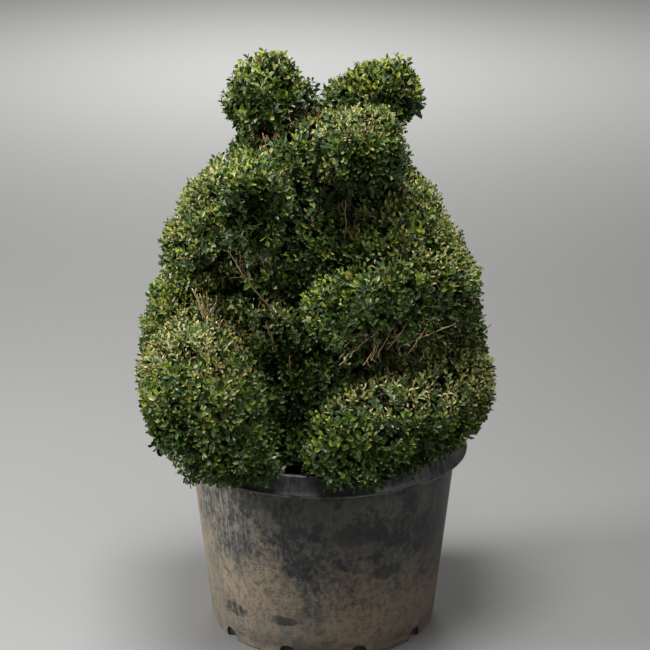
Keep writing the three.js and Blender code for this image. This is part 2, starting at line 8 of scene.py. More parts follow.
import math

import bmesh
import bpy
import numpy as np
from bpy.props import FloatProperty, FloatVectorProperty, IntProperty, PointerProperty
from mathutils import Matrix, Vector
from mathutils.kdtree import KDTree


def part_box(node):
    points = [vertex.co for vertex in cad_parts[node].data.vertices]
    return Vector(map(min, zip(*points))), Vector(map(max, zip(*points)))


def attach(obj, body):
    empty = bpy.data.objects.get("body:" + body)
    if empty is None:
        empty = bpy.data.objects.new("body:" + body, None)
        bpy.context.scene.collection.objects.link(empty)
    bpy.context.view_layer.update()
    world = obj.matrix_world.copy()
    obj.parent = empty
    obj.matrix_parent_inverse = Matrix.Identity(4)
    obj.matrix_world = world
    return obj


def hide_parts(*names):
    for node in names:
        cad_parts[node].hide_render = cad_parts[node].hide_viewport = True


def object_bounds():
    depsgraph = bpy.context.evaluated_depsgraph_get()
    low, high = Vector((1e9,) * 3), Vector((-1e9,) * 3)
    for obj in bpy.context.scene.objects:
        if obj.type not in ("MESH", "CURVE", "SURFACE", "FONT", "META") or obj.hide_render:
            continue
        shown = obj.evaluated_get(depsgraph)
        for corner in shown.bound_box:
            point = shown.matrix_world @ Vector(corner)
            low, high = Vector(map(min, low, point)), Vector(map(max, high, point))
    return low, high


bl_info = {
    "name": "Potted Boxwood Bear Topiary",
    "version": (1, 0, 0),
    "blender": (4, 5, 0),
    "location": "View3D > Sidebar > Topiary",
    "description": "Grows a clipped boxwood bear with its twigs and leaves in a nursery pot",
    "category": "Add Mesh",
}

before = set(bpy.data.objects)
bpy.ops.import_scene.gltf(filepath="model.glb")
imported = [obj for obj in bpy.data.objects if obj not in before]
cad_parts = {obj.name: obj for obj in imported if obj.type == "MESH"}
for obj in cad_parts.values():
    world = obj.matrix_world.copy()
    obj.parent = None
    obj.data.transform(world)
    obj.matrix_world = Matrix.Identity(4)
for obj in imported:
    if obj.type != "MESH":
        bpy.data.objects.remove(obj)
CAD_LOW, CAD_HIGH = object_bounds()
BODY = "root"

# The pot's and the soil's own boxes give the sizes that the rest is worked out from
_, POT_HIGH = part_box("pot")
SOIL_LOW, SOIL_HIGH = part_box("soil")
POT_HEIGHT = POT_HIGH.z
LIP_RADIUS = POT_HIGH.x
SOIL_LEVEL = SOIL_HIGH.z
SOIL_RADIUS = SOIL_HIGH.x

# The trunk: its foot, bend and top, and its radii at both ends
TRUNK = {"foot": (-0.014, 0.008, 0.4253), "bend": (0.022, 0.040, 0.720), "top": (-0.034, 0.025, 1.057)}
TRUNK_RADII = (0.034, 0.012)

# The trunk's flare at the soil: its width and height, and the buttresses' share, height and number
FLARE = {"width": 0.027, "height": 0.032, "buttress": 0.16, "buttress_height": 0.048, "buttresses": 5}

# Boughs by the name of their mass: start height on the trunk, bend, and end radii
BOUGHS = {
    "foot_left": (0.492, (-0.095, -0.095, 0.500), (0.013, 0.008)),
    "leg_left": (0.532, (-0.115, -0.050, 0.575), (0.017, 0.010)),
    "leg_right": (0.505, (0.075, -0.035, 0.545), (0.017, 0.010)),
    "hip_left": (0.575, (-0.130, 0.055, 0.625), (0.016, 0.009)),
    "hip_right": (0.555, (0.115, 0.065, 0.590), (0.016, 0.009)),
    "shoulder_left": (0.650, (-0.130, 0.025, 0.760), (0.017, 0.009)),
    "paw_left": (0.605, (-0.115, -0.120, 0.730), (0.014, 0.008)),
    "shoulder_right": (0.680, (0.115, 0.045, 0.745), (0.017, 0.009)),
    "forearm_right": (0.615, (0.065, -0.100, 0.680), (0.014, 0.009)),
    "muzzle": (0.815, (0.045, -0.070, 0.930), (0.011, 0.007)),
    "ear_left": (0.890, (-0.085, 0.020, 1.000), (0.010, 0.006)),
    "ear_right": (0.860, (0.092, 0.062, 0.985), (0.010, 0.006)),
}

# Stems inside the crown to the masses that have no bough: start height on the trunk and end radii,
# and how much higher the trunk's point is that they bend towards
SIDE_STEMS = {
    "chest": (0.770, (0.010, 0.008)),
    "belly": (0.585, (0.011, 0.008)),
    "back": (0.690, (0.013, 0.009)),
    "seat": (0.480, (0.012, 0.009)),
}
SIDE_STEM_RISE = 0.012

# Masses of foliage, each inside its own clipped lobe: centre, half sizes, turn in degrees about
# X, Y and Z, squareness and taper, and the hub of its twigs where that isn't the centre. An
# earlier mass keeps its whole lobe and a later one gives way.
MASSES = {
    "ear_left": {"centre": (-0.112, 0.015, 1.188), "half": (0.090, 0.072, 0.116), "turn": (0, -8, 0),
                 "power": 1.95, "taper": -0.02},
    "ear_right": {"centre": (0.106, 0.075, 1.178), "half": (0.110, 0.078, 0.084), "turn": (0, -22, 0),
                  "power": 2.53, "taper": 0.08},
    "muzzle": {"centre": (0.076, -0.100, 1.108), "half": (0.095, 0.100, 0.096), "turn": (0, -2, 20),
               "power": 2.57},
    "paw_left": {"centre": (-0.140, -0.165, 1.012), "half": (0.072, 0.105, 0.115), "power": 2.5},
    "forearm_right": {"centre": (0.154, -0.130, 0.787), "half": (0.206, 0.105, 0.111),
                      "turn": (0, -7, 34), "power": 2.56, "taper": 0.05},
    "foot_left": {"centre": (-0.200, -0.240, 0.522), "half": (0.115, 0.125, 0.092),
                  "turn": (0, 0, -12), "power": 2.5},
    "leg_right": {"centre": (0.170, -0.130, 0.530), "half": (0.135, 0.248, 0.099),
                  "turn": (9, -3, -42), "power": 2.69},
    "leg_left": {"centre": (-0.236, -0.150, 0.606), "half": (0.138, 0.225, 0.166),
                 "turn": (12, -30, -12), "power": 2.48, "taper": -0.13, "hub": (-0.262, -0.105, 0.652)},
    "seat": {"centre": (0, -0.005, 0.490), "half": (0.255, 0.255, 0.055), "power": 2.6,
             "hub": (0.090, 0.040, 0.490)},
    "head": {"centre": (-0.034, 0.025, 1.057), "half": (0.175, 0.150, 0.120), "turn": (0, -4, 0),
             "power": 2.34, "taper": 0.07},
    "shoulder_left": {"centre": (-0.221, -0.010, 0.930), "half": (0.103, 0.140, 0.158),
                      "turn": (0, 27, 0), "power": 2.33, "taper": -0.03},
    "shoulder_right": {"centre": (0.187, 0.025, 0.870), "half": (0.113, 0.150, 0.235),
                       "turn": (0, -34, 0), "power": 2.27, "taper": 0.08},
    "hip_left": {"centre": (-0.279, 0.070, 0.680), "half": (0.126, 0.150, 0.154), "turn": (0, 6, 0),
                 "power": 2.41, "taper": -0.14, "hub": (-0.290, 0.118, 0.700)},
    "hip_right": {"centre": (0.232, 0.090, 0.629), "half": (0.139, 0.150, 0.148), "turn": (0, -1, 0),
                  "power": 2.4, "taper": -0.17},
    "chest": {"centre": (0.005, -0.062, 0.885), "half": (0.190, 0.102, 0.170), "turn": (-6, 0, 0),
              "power": 2.3},
    "belly": {"centre": (-0.010, -0.112, 0.645), "half": (0.225, 0.098, 0.205), "turn": (-4, 0, 0),
              "power": 2.3},
    "back": {"centre": (0, 0.140, 0.745), "half": (0.262, 0.112, 0.305), "turn": (4, 0, 0),
             "power": 2.4, "taper": -0.1},
}

# The slight unevenness of a clipped surface, and the least width that a taper leaves
LUMP = {"share": 0.03, "wave": 4.5, "phase": 1.7}
LEAST_WIDTH = 0.5

# How far a leaf may reach past the solids' box, and how thick the leafy layer of a mass is
OVERHANG = 0.006
LEAF_LAYER = 0.019

# Where a limb ends: the margin round the masses it mustn't enter, the step along it, and how deep it
# may be in those and in the core of its own
CUTTER_MARGIN = 0.009
ENTRY = {"step": 0.01, "outside": 1.08, "inside": 0.97}


# Sizes and colours that a user may change

class TopiaryPot(bpy.types.PropertyGroup):
    """The nursery pot and its soil"""

    foot_radius: FloatProperty(
        name="Foot Radius", description="Outer radius at the foot", default=0.254, unit="LENGTH")
    neck_radius: FloatProperty(
        name="Neck Radius", description="Outer radius under the lip", default=0.299, unit="LENGTH")
    lip_drop: FloatProperty(
        name="Lip Drop", description="How far the lip hangs down", default=0.045, unit="LENGTH")
    wall: FloatProperty(name="Wall", description="Thickness of the wall", default=0.006, unit="LENGTH")
    floor: FloatProperty(name="Floor", description="Thickness of the floor", default=0.008, unit="LENGTH")
    notches: IntProperty(name="Notches", description="Drainage notches round the foot", default=10)
    notch_width: FloatProperty(
        name="Notch Width", description="Width of a drainage notch", default=0.038, unit="LENGTH")
    notch_height: FloatProperty(
        name="Notch Height", description="Height of a drainage notch", default=0.030, unit="LENGTH")
    plastic: FloatVectorProperty(
        name="Plastic", description="Colour of the clean plastic", subtype="COLOR", size=3,
        default=(0.009, 0.010, 0.012), min=0, max=1)
    dirt: FloatVectorProperty(
        name="Dirt", description="Colour of the dried dirt on the wall", subtype="COLOR", size=3,
        default=(0.182, 0.146, 0.104), min=0, max=1)


class TopiaryWood(bpy.types.PropertyGroup):
    """The trunk, the boughs and their twigs"""

    relief: FloatProperty(
        name="Relief", description="Depth of the bark's furrows as a share of the radius", default=0.09)
    bark: FloatVectorProperty(
        name="Bark", description="Colour of the bark", subtype="COLOR", size=3,
        default=(0.21, 0.15, 0.09), min=0, max=1)
    twig: FloatVectorProperty(
        name="Twig", description="Colour of the inner twigs", subtype="COLOR", size=3,
        default=(0.150, 0.092, 0.048), min=0, max=1)
    shoot: FloatVectorProperty(
        name="Shoot", description="Colour of the outer shoots", subtype="COLOR", size=3,
        default=(0.130, 0.135, 0.040), min=0, max=1)
    stem: FloatVectorProperty(
        name="Stem", description="Colour of the bare stems", subtype="COLOR", size=3,
        default=(0.310, 0.228, 0.130), min=0, max=1)


class TopiaryFoliage(bpy.types.PropertyGroup):
    """Shoots and leaves"""

    spacing: FloatProperty(
        name="Spacing", description="Distance between shoots", default=0.0122, unit="LENGTH")
    shoot_length: FloatProperty(
        name="Shoot Length", description="Length of a leafy shoot", default=0.062, unit="LENGTH")
    pairs: IntProperty(name="Pairs", description="Pairs of leaves on a shoot", default=6)
    pair_step: FloatProperty(
        name="Pair Step", description="Distance between pairs of leaves", default=0.0085, unit="LENGTH")
    leaf_length: FloatProperty(
        name="Leaf Length", description="Length of a full-grown leaf", default=0.0198, unit="LENGTH")
    leaf_width: FloatProperty(
        name="Leaf Width", description="Width of a leaf as a share of its length", default=0.54)
    seed: IntProperty(name="Seed", description="Seed of everything random", default=20611)


class TopiaryStage(bpy.types.PropertyGroup):
    """Floor and camera"""

    floor_colour: FloatVectorProperty(
        name="Floor", description="Colour of the floor", subtype="COLOR", size=3,
        default=(0.180, 0.179, 0.174), min=0, max=1)
    distance: FloatProperty(
        name="Distance", description="How far in front the camera stands", default=4.2925, unit="LENGTH")
    eye_height: FloatProperty(
        name="Eye Height", description="Height of the camera", default=2.05, unit="LENGTH")
    pitch: FloatProperty(
        name="Pitch", description="How far the camera looks down", default=math.radians(17.54),
        subtype="ANGLE")
    lens: FloatProperty(name="Lens", description="Focal length in millimetres", default=112.35)
    shift: FloatProperty(
        name="Shift", description="Sideways shift as a share of the frame's width", default=2 / 650)


# Shader and geometry graphs

class Wire:
    """A value in a shader or geometry graph. An expression on wires adds its Math nodes."""

    def __init__(self, graph, socket):
        self.graph = graph
        self.socket = socket

    def math(self, operation, *values):
        return self.graph.add("ShaderNodeMath", {"operation": operation}, *values)

    def __add__(self, other):
        return self.math("ADD", self, other)

    def __radd__(self, other):
        return self.math("ADD", other, self)

    def __sub__(self, other):
        return self.math("SUBTRACT", self, other)

    def __rsub__(self, other):
        return self.math("SUBTRACT", other, self)

    def __mul__(self, other):
        return self.math("MULTIPLY", self, other)

    def __truediv__(self, other):
        return self.math("DIVIDE", self, other)

    def above(self, level, softness):
        """0 below the level and 1 above it, with a soft edge."""
        return self.graph.add(
            "ShaderNodeMapRange", {"interpolation_type": "SMOOTHSTEP"},
            self, level - softness, level + softness, 0.0, 1.0)

    def clamped(self):
        """The value kept between 0 and 1."""
        return self.graph.add("ShaderNodeClamp", None, self)


class Graph:
    """A node tree that nodes are added to."""

    def __init__(self, tree):
        self.tree = tree

    def add(self, kind, settings=None, *values, output=0, **named):
        """A new node's output as a wire. Its inputs are fed in order, or by name."""
        node = self.tree.nodes.new(kind)
        for key, value in (settings or {}).items():
            setattr(node, key, value)
        inputs = list(enumerate(values))
        inputs += [(key.replace("_", " ").title(), value) for key, value in named.items()]
        for key, value in inputs:
            self.feed(node.inputs[key], value)
        return Wire(self, node.outputs[output])

    def feed(self, socket, value):
        """Link a wire to a socket, or set the socket to a plain value."""
        if isinstance(value, Wire):
            self.tree.links.new(value.socket, socket)
        else:
            socket.default_value = value

    def axes(self, vector):
        """X, Y and Z of a vector, as wires."""
        node = self.add("ShaderNodeSeparateXYZ", None, vector).socket.node
        return [Wire(self, socket) for socket in node.outputs]


class Finish(Graph):
    """A material with one Principled shader."""

    def __init__(self, name, colour, roughness):
        self.material = bpy.data.materials.new(name)
        self.material.use_nodes = True
        self.material.diffuse_color = (*colour, 1.0)
        super().__init__(self.material.node_tree)
        self.shader = self.tree.nodes["Principled BSDF"]
        self.set("Base Color", (*colour, 1.0))
        self.set("Roughness", roughness)

    def set(self, socket, value):
        self.feed(self.shader.inputs[socket], value)

    def place(self, stretch=(1.0, 1.0, 1.0)):
        where = self.add("ShaderNodeTexCoord", output=3)
        return self.add("ShaderNodeMapping", None, where, scale=stretch)

    def noise(self, scale, detail=4.0, rough=0.55, stretch=(1.0, 1.0, 1.0)):
        return self.add(
            "ShaderNodeTexNoise", None, self.place(stretch),
            scale=scale, detail=detail, roughness=rough)

    def mix(self, factor, first, second):
        """A colour between two, each a tuple or a wire."""
        node = self.tree.nodes.new("ShaderNodeMix")
        node.data_type = "RGBA"
        self.feed(node.inputs[0], factor)
        for number, value in ((6, first), (7, second)):
            self.feed(node.inputs[number], (*value, 1.0) if isinstance(value, tuple) else value)
        return Wire(self, node.outputs[2])

    def bump(self, height, strength, distance):
        self.set("Normal", self.add(
            "ShaderNodeBump", None, strength=strength, distance=distance, height=height))


def leaf_finish(name, colour, roughness, shine=0.4):
    """Plain and glossy: the colours of the leaves are dealt out by spray."""
    finish = Finish(name, colour, roughness)
    finish.set("Specular IOR Level", shine)
    return finish.material


# Colours on the pot: its faded plastic, pale streaks that are partly rain marks and partly painted
# sheen, dust on the lip, a painted highlight along the lip's lower edge, kinds of dirt, dirt darkened
# as painted shade, scratches and flecks
POT_TONES = {
    "faded": (0.074, 0.071, 0.056),
    "rain_and_sheen": (0.190, 0.188, 0.170),
    "lip_dust_and_shade": (0.098, 0.096, 0.094),
    "painted_edge_highlight": (0.240, 0.235, 0.222),
    "grey_dirt": (0.130, 0.121, 0.095),
    "brown_dirt": (0.158, 0.127, 0.090),
    "sandy_dirt": (0.228, 0.175, 0.124),
    "painted_shade_dirt": (0.120, 0.095, 0.066),
    "scratch": (0.250, 0.235, 0.205),
    "fleck": (0.010, 0.009, 0.007),
}

# Where the dirt at the front has been wiped off: X and Z of the middle, half width, half height
WIPED = [
    (-0.194, 0.087, 0.030, 0.018),
    (-0.087, 0.092, 0.036, 0.012),
    (0.141, 0.205, 0.042, 0.017),
    (0.075, 0.305, 0.060, 0.030),
]


def plastic_finish(pot):
    """Faded black plastic with dried dirt that runs down the wall, clean smears and fine scratches.

    The left side takes more dirt and pale streaks, partly as painted light. The dirt on the right is
    darkened as painted shade, the lip's dust thins at the front left as painted shade, and a painted
    highlight runs along the lip's lower edge.
    """
    finish = Finish("pot_plastic", tuple(pot.plastic), 0.55)
    side, depth, height = finish.axes(finish.place())
    cloud = finish.noise(5.0, 4.0, 0.55)
    blotch = finish.noise(19.0, 9.0, 0.72)
    mottle = finish.noise(75.0, 9.0, 0.85)
    streak = finish.noise(110.0, 6.0, 0.75, (1.0, 1.0, 0.10))
    scuff = finish.noise(48.0, 7.0, 0.80, (0.32, 0.32, 2.4))
    lip_foot = POT_HEIGHT - pot.lip_drop
    lip = height.above(lip_foot - 0.002, 0.002)
    # Dirt reaches higher and pale streaks gather towards the left: partly real dirt and rain marks, partly
    # painted light on the side that the key lamp lights
    dirt_and_light_leftward = side.math("MAXIMUM", side * -1.0 - 0.02, 0.0)
    rightward = side.above(0.12, 0.10)
    far_left = 1.0 - side.above(-0.185, 0.05)

    edge = 0.165 + dirt_and_light_leftward * 0.65
    spots = (cloud - 0.5) * 0.22 + (blotch - 0.5) * 0.34 + (mottle - 0.5) * 0.30
    dirt = (edge - height + spots).above(0.0, 0.11)
    haze = (cloud * 0.25 + blotch * 0.40 + mottle * 0.35).above(0.495, 0.05)
    # Pale streaks on the left: partly rain marks, partly painted sheen of the light from the left
    rain_and_sheen = (streak * 0.6 + mottle * 0.4).above(0.535, 0.05) * (dirt_and_light_leftward * 1.2 + far_left * 0.7)
    smear = (blotch * 0.5 + scuff * 0.5).above(0.570, 0.022)
    rough = (mottle - 0.5) * 2.4 + (streak - 0.5) * 0.8
    wiped = 0.0
    for x, z, width, tall in WIPED:
        across, up = (side - x) / width, (height - z) / tall
        reach = across * across + up * up + (blotch - 0.5) * 3.0 + (scuff - 0.5) * 3.0
        wiped = wiped + (1.0 - reach.above(0.9, 0.35))
    wiped = (wiped * (1.0 - depth.above(0.0, 0.04))).clamped()
    dirt = dirt * (1.0 - smear * 0.75) * (1.0 - wiped * 0.85) * (0.80 + rough)
    dirt = (dirt * (1.0 - lip * 0.97)).clamped()
    haze = (haze * (1.0 - lip * 0.8) * (1.0 - wiped * 0.6) * (0.70 + rough)).clamped()
    rain_and_sheen = (rain_and_sheen * (1.0 - lip * 0.7)).clamped()
    # Dust on the lip: real dust, kept thin at the front and left as painted shade under the overhanging
    # foliage
    lip_dust_and_shade = (streak * 0.45 + blotch * 0.35 + scuff * 0.20).above(0.500, 0.035)
    lip_dust_and_shade = lip_dust_and_shade * lip * (0.20 + rightward * 0.25)
    # A pale line along the lip's lower edge: a painted highlight where the edge catches the light
    painted_edge_highlight = height.above(lip_foot - 0.0005, 0.0004) * (1.0 - height.above(lip_foot + 0.0022, 0.0006))
    painted_edge_highlight = (painted_edge_highlight * (blotch.above(0.47, 0.05) + streak.above(0.56, 0.02))).clamped()
    scratch = scuff.above(0.660, 0.010) + streak.above(0.700, 0.010) * 0.7
    fleck = mottle.above(0.635, 0.015)

    worn = finish.mix(haze, tuple(pot.plastic), POT_TONES["faded"])
    worn = finish.mix(rain_and_sheen, worn, POT_TONES["rain_and_sheen"])
    worn = finish.mix(lip_dust_and_shade, worn, POT_TONES["lip_dust_and_shade"])
    worn = finish.mix(painted_edge_highlight * 0.75, worn, POT_TONES["painted_edge_highlight"])
    tone = finish.mix(blotch.above(0.5, 0.08), POT_TONES["grey_dirt"], tuple(pot.dirt))
    warm = finish.mix(mottle.above(0.47, 0.06), POT_TONES["brown_dirt"], POT_TONES["sandy_dirt"])
    tone = finish.mix(cloud.above(0.49, 0.06), tone, warm)
    # Darker dirt to the right: painted shade on the side away from the key lamp
    tone = finish.mix(rightward * 0.75, tone, POT_TONES["painted_shade_dirt"])
    colour = finish.mix(dirt, worn, tone)
    colour = finish.mix((scratch * 0.5).clamped(), colour, POT_TONES["scratch"])
    colour = finish.mix(fleck * 0.85, colour, POT_TONES["fleck"])
    finish.set("Base Color", colour)
    finish.set("Roughness", 0.44 + dirt * 0.42 + haze * 0.2)
    finish.set("Specular IOR Level", 0.35)
    finish.bump(dirt * 0.6 + mottle * 0.6, 0.6, 0.0018)
    return finish.material


def soil_finish():
    """Dark moist compost with paler crumbs."""
    finish = Finish("potting_soil", (0.03, 0.02, 0.013), 0.95)
    clump = finish.noise(26.0, 6.0, 0.7)
    grain = finish.noise(240.0, 3.0, 0.7)
    colour = finish.mix(clump.above(0.55, 0.14), (0.020, 0.013, 0.009), (0.060, 0.040, 0.024))
    colour = finish.mix(grain.above(0.66, 0.03), colour, (0.150, 0.110, 0.070))
    finish.set("Base Color", colour)
    finish.bump(clump * 0.6 + grain * 0.5, 0.9, 0.004)
    return finish.material


def bark_finish(wood):
    """Grey-tan bark with furrows along the limb, flaking to a warmer layer."""
    finish = Finish("boxwood_bark", tuple(wood.bark), 0.88)
    furrow = finish.noise(75.0, 6.0, 0.65, (1.0, 1.0, 0.22))
    patch = finish.noise(28.0, 4.0, 0.6)
    colour = finish.mix(furrow.above(0.5, 0.13), (0.070, 0.046, 0.026), tuple(wood.bark))
    colour = finish.mix(patch.above(0.56, 0.1) * 0.7, colour, (0.300, 0.245, 0.170))
    finish.set("Base Color", colour)
    finish.set("Roughness", 0.8 + (furrow - 0.5) * 0.2)
    finish.bump(furrow, 0.8, 0.003)
    return finish.material


def floor_finish(stage):
    """A seamless grey floor, with painted shade that makes it a little darker to the right."""
    finish = Finish("studio_floor", tuple(stage.floor_colour), 0.85)
    side = finish.axes(finish.place())[0]
    # Painted shade: the floor darkens towards the right, away from the key lamp
    shade = tuple(0.84 * value for value in stage.floor_colour)
    finish.set("Base Color", finish.mix(side.above(0.3, 1.1), tuple(stage.floor_colour), shade))
    return finish.material


# Meshes from arrays

def unit(vectors):
    return vectors / np.maximum(np.linalg.norm(vectors, axis=-1, keepdims=True), 1e-9)


def add_piece(name, points, faces, materials, kinds=None, smooth=False):
    """A piece from an array of points and a list of face arrays, each with its own corner count."""
    mesh = bpy.data.meshes.new(name)
    points = np.asarray(points, dtype=np.float32)
    counts = np.concatenate([np.full(len(block), block.shape[1]) for block in faces])
    corners = np.concatenate([block.reshape(-1) for block in faces]).astype(np.int32)
    mesh.vertices.add(len(points))
    mesh.vertices.foreach_set("co", points.reshape(-1))
    mesh.loops.add(len(corners))
    mesh.loops.foreach_set("vertex_index", corners)
    mesh.polygons.add(len(counts))
    starts = np.concatenate([[0], np.cumsum(counts)[:-1]]).astype(np.int32)
    mesh.polygons.foreach_set("loop_start", starts)
    for material in materials:
        mesh.materials.append(material)
    if kinds is not None:
        mesh.polygons.foreach_set("material_index", np.concatenate(kinds).astype(np.int32))
    mesh.polygons.foreach_set("use_smooth", np.full(len(counts), smooth))
    mesh.update(calc_edges=True)
    mesh.validate()
    return add_mesh(name, mesh)


def add_mesh(name, mesh):
    piece = bpy.data.objects.new(name, mesh)
    bpy.context.scene.collection.objects.link(piece)
    return piece


def settle(piece, slot, *nodes):
    """The piece rides with the plant and stands for CAD nodes, which it hides. The slot is not used."""
    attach(piece, BODY)
    if nodes:
        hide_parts(*nodes)


def baked_mesh(name, piece):
    """A plain mesh of the piece with its modifiers applied, under a new name."""
    depsgraph = bpy.context.evaluated_depsgraph_get()
    mesh = bpy.data.meshes.new_from_object(piece.evaluated_get(depsgraph))
    mesh.name = name
    return mesh


def sharpen(mesh, angle):
    """Smooth faces on joined points, with a crease at each edge that turns more than an angle."""
    shape = bmesh.new()
    shape.from_mesh(mesh)
    bmesh.ops.remove_doubles(shape, verts=shape.verts, dist=1e-5)
    for face in shape.faces:
        face.smooth = True
    for edge in shape.edges:
        edge.smooth = len(edge.link_faces) == 2 and edge.calc_face_angle(0.0) < angle
    shape.to_mesh(mesh)
    shape.free()


def ring_walls(rows, sides):
    """The quads between rows + 1 rings of points, numbered ring by ring."""
    step = np.arange(sides)
    after = (step + 1) % sides
    row = np.arange(rows)[:, None] * sides
    walls = np.stack([row + step, row + after, row + sides + after, row + sides + step], axis=-1)
    return walls.reshape(-1, 4)


def lathe(name, profile, sides):
    """A closed mesh turned round Z from a profile that starts and ends on the axis."""
    ring = np.arange(sides) * 2 * math.pi / sides
    outline = np.asarray(profile[1:-1])
    points = np.stack([
        outline[:, :1] * np.cos(ring), outline[:, :1] * np.sin(ring),
        np.broadcast_to(outline[:, 1:], (len(outline), sides))], axis=-1).reshape(-1, 3)
    poles = [[0, 0, profile[0][1]], [0, 0, profile[-1][1]]]
    step = np.arange(sides)
    after = (step + 1) % sides
    walls = ring_walls(len(outline) - 1, sides)
    first, last = len(points), len(points) + 1
    top = (len(outline) - 1) * sides
    caps = np.concatenate([
        np.stack([np.full(sides, first), after, step], axis=-1),
        np.stack([np.full(sides, last), top + step, top + after], axis=-1)])
    return add_piece(name, np.concatenate([points, poles]), [walls, caps], [])


def curves(starts, bends, ends, segments, kink=0.0, random=None):
    """Lines of points along curves, with small kinks between their ends."""
    t = np.linspace(0, 1, segments + 1)[None, :, None]
    starts, bends, ends = starts[:, None], bends[:, None], ends[:, None]
    lines = (1 - t) ** 2 * starts + 2 * t * (1 - t) * bends + t ** 2 * ends
    if kink:
        lines[:, 1:-1] += kink * random.normal(size=lines[:, 1:-1].shape)
    return lines


def tubes(lines, first, last, sides):
    """Tapering closed tubes along lines, all in one: points and two arrays of faces."""
    count, rows = lines.shape[:2]
    tangent = unit(np.gradient(lines, axis=1))
    whole = unit(lines[:, -1:] - lines[:, :1])
    aside = np.where(np.abs(whole[..., 2:]) > 0.7, [[[1.0, 0, 0]]], [[[0, 0, 1.0]]])
    across = unit(np.cross(tangent, aside))
    along = np.cross(tangent, across)
    t = np.linspace(0, 1, rows)[None, :, None]
    radius = first * (1 - t) + last * t
    angle = np.arange(sides) * 2 * math.pi / sides
    points = (lines[:, :, None] + (radius * across)[:, :, None] * np.cos(angle)[:, None]
              + (radius * along)[:, :, None] * np.sin(angle)[:, None])
    step = np.arange(sides)
    base = (np.arange(count) * rows * sides)[:, None, None]
    walls = (base + ring_walls(rows - 1, sides)).reshape(-1, 4)
    caps = np.stack([step[::-1], (rows - 1) * sides + step])
    return points.reshape(-1, 3), walls, (base + caps).reshape(-1, sides)


# Lobes

class Lobe:
    """A rounded box with a little taper and a slightly uneven clipped surface."""

    def __init__(self, number, name):
        mass = MASSES[name]
        about_x, about_y, about_z = (math.radians(angle) for angle in mass.get("turn", (0, 0, 0)))
        turn = (Matrix.Rotation(about_z, 3, "Z") @ Matrix.Rotation(about_x, 3, "X")
                @ Matrix.Rotation(about_y, 3, "Y"))
        self.name = name
        self.centre = np.array(mass["centre"], dtype=float)
        self.half = np.array(mass["half"])
        self.power = mass["power"]
        self.taper = mass.get("taper", 0.0)
        self.hub = np.array(mass.get("hub", mass["centre"]), dtype=float)
        self.phase = number * LUMP["phase"]
        self.turn = np.array(turn)

    def lump(self, directions):
        phases = self.phase * np.array([1, 2, 3])
        return 1 + LUMP["share"] * np.sin(LUMP["wave"] * directions + phases).mean(axis=-1)

    def spread(self, local):
        return (np.abs(local) ** self.power).sum(axis=-1) ** (1 / self.power)

    def surface(self, directions, inset=0.0):
        """Points of the surface in these directions, moved in by an inset."""
        reach = self.lump(directions) / self.spread(directions)
        height = directions[..., 2] * reach
        width = reach * (1 + self.taper * height)
        local = np.stack([directions[..., 0] * width, directions[..., 1] * width, height], axis=-1)
        return (local * (self.half - inset)) @ self.turn.T + self.centre

    def depth(self, points, inset=0.0):
        """1 on the surface moved in by an inset, and less inside it."""
        local = ((points - self.centre) @ self.turn) / (self.half - inset)
        width = np.maximum(1 + self.taper * local[..., 2:], LEAST_WIDTH)
        local = np.concatenate([local[..., :2] / width, local[..., 2:]], axis=-1)
        return self.spread(local) / self.lump(unit(local))

    def area_at(self, directions):
        """How much surface a small change of direction covers."""
        small = 1e-3
        aside = unit(np.cross(directions, [0.31, 0.22, 0.93]))
        other = np.cross(directions, aside)
        here = self.surface(directions)
        first = self.surface(unit(directions + small * aside)) - here
        second = self.surface(unit(directions + small * other)) - here
        return np.linalg.norm(np.cross(first, second), axis=-1) / small ** 2


def fibonacci(count):
    """Evenly spread directions."""
    index = np.arange(count)
    z = 1 - (2 * index + 1) / count
    ring = np.sqrt(1 - z * z)
    angle = index * math.pi * (3 - math.sqrt(5))
    return np.stack([ring * np.cos(angle), ring * np.sin(angle), z], axis=-1)


def thinned(points, spacing):
    """Numbers of the points that are left when none is closer than the spacing to one before it."""
    cells = {}
    kept = []
    for number, (point, cell) in enumerate(zip(points, np.floor(points / spacing).astype(int))):
        x, y, z = cell
        near = (
            other
            for i in (x - 1, x, x + 1) for j in (y - 1, y, y + 1) for k in (z - 1, z, z + 1)
            for other in cells.get((i, j, k), ())
        )
        if all(((point - points[other]) ** 2).sum() >= spacing ** 2 for other in near):
            cells.setdefault((x, y, z), []).append(number)
            kept.append(number)
    return np.array(kept, dtype=int)


def patchiness(points, size, seed):
    """A smooth random field between about -1 and 1 with patches of a size."""
    random = np.random.default_rng(seed)
    waves = unit(random.normal(size=(9, 3))) * 2 * math.pi / size * random.uniform(0.6, 1.5, (9, 1))
    return np.sin(points @ waves.T + random.uniform(0, 2 * math.pi, 9)).sum(axis=-1) / 4.2


# Limbs

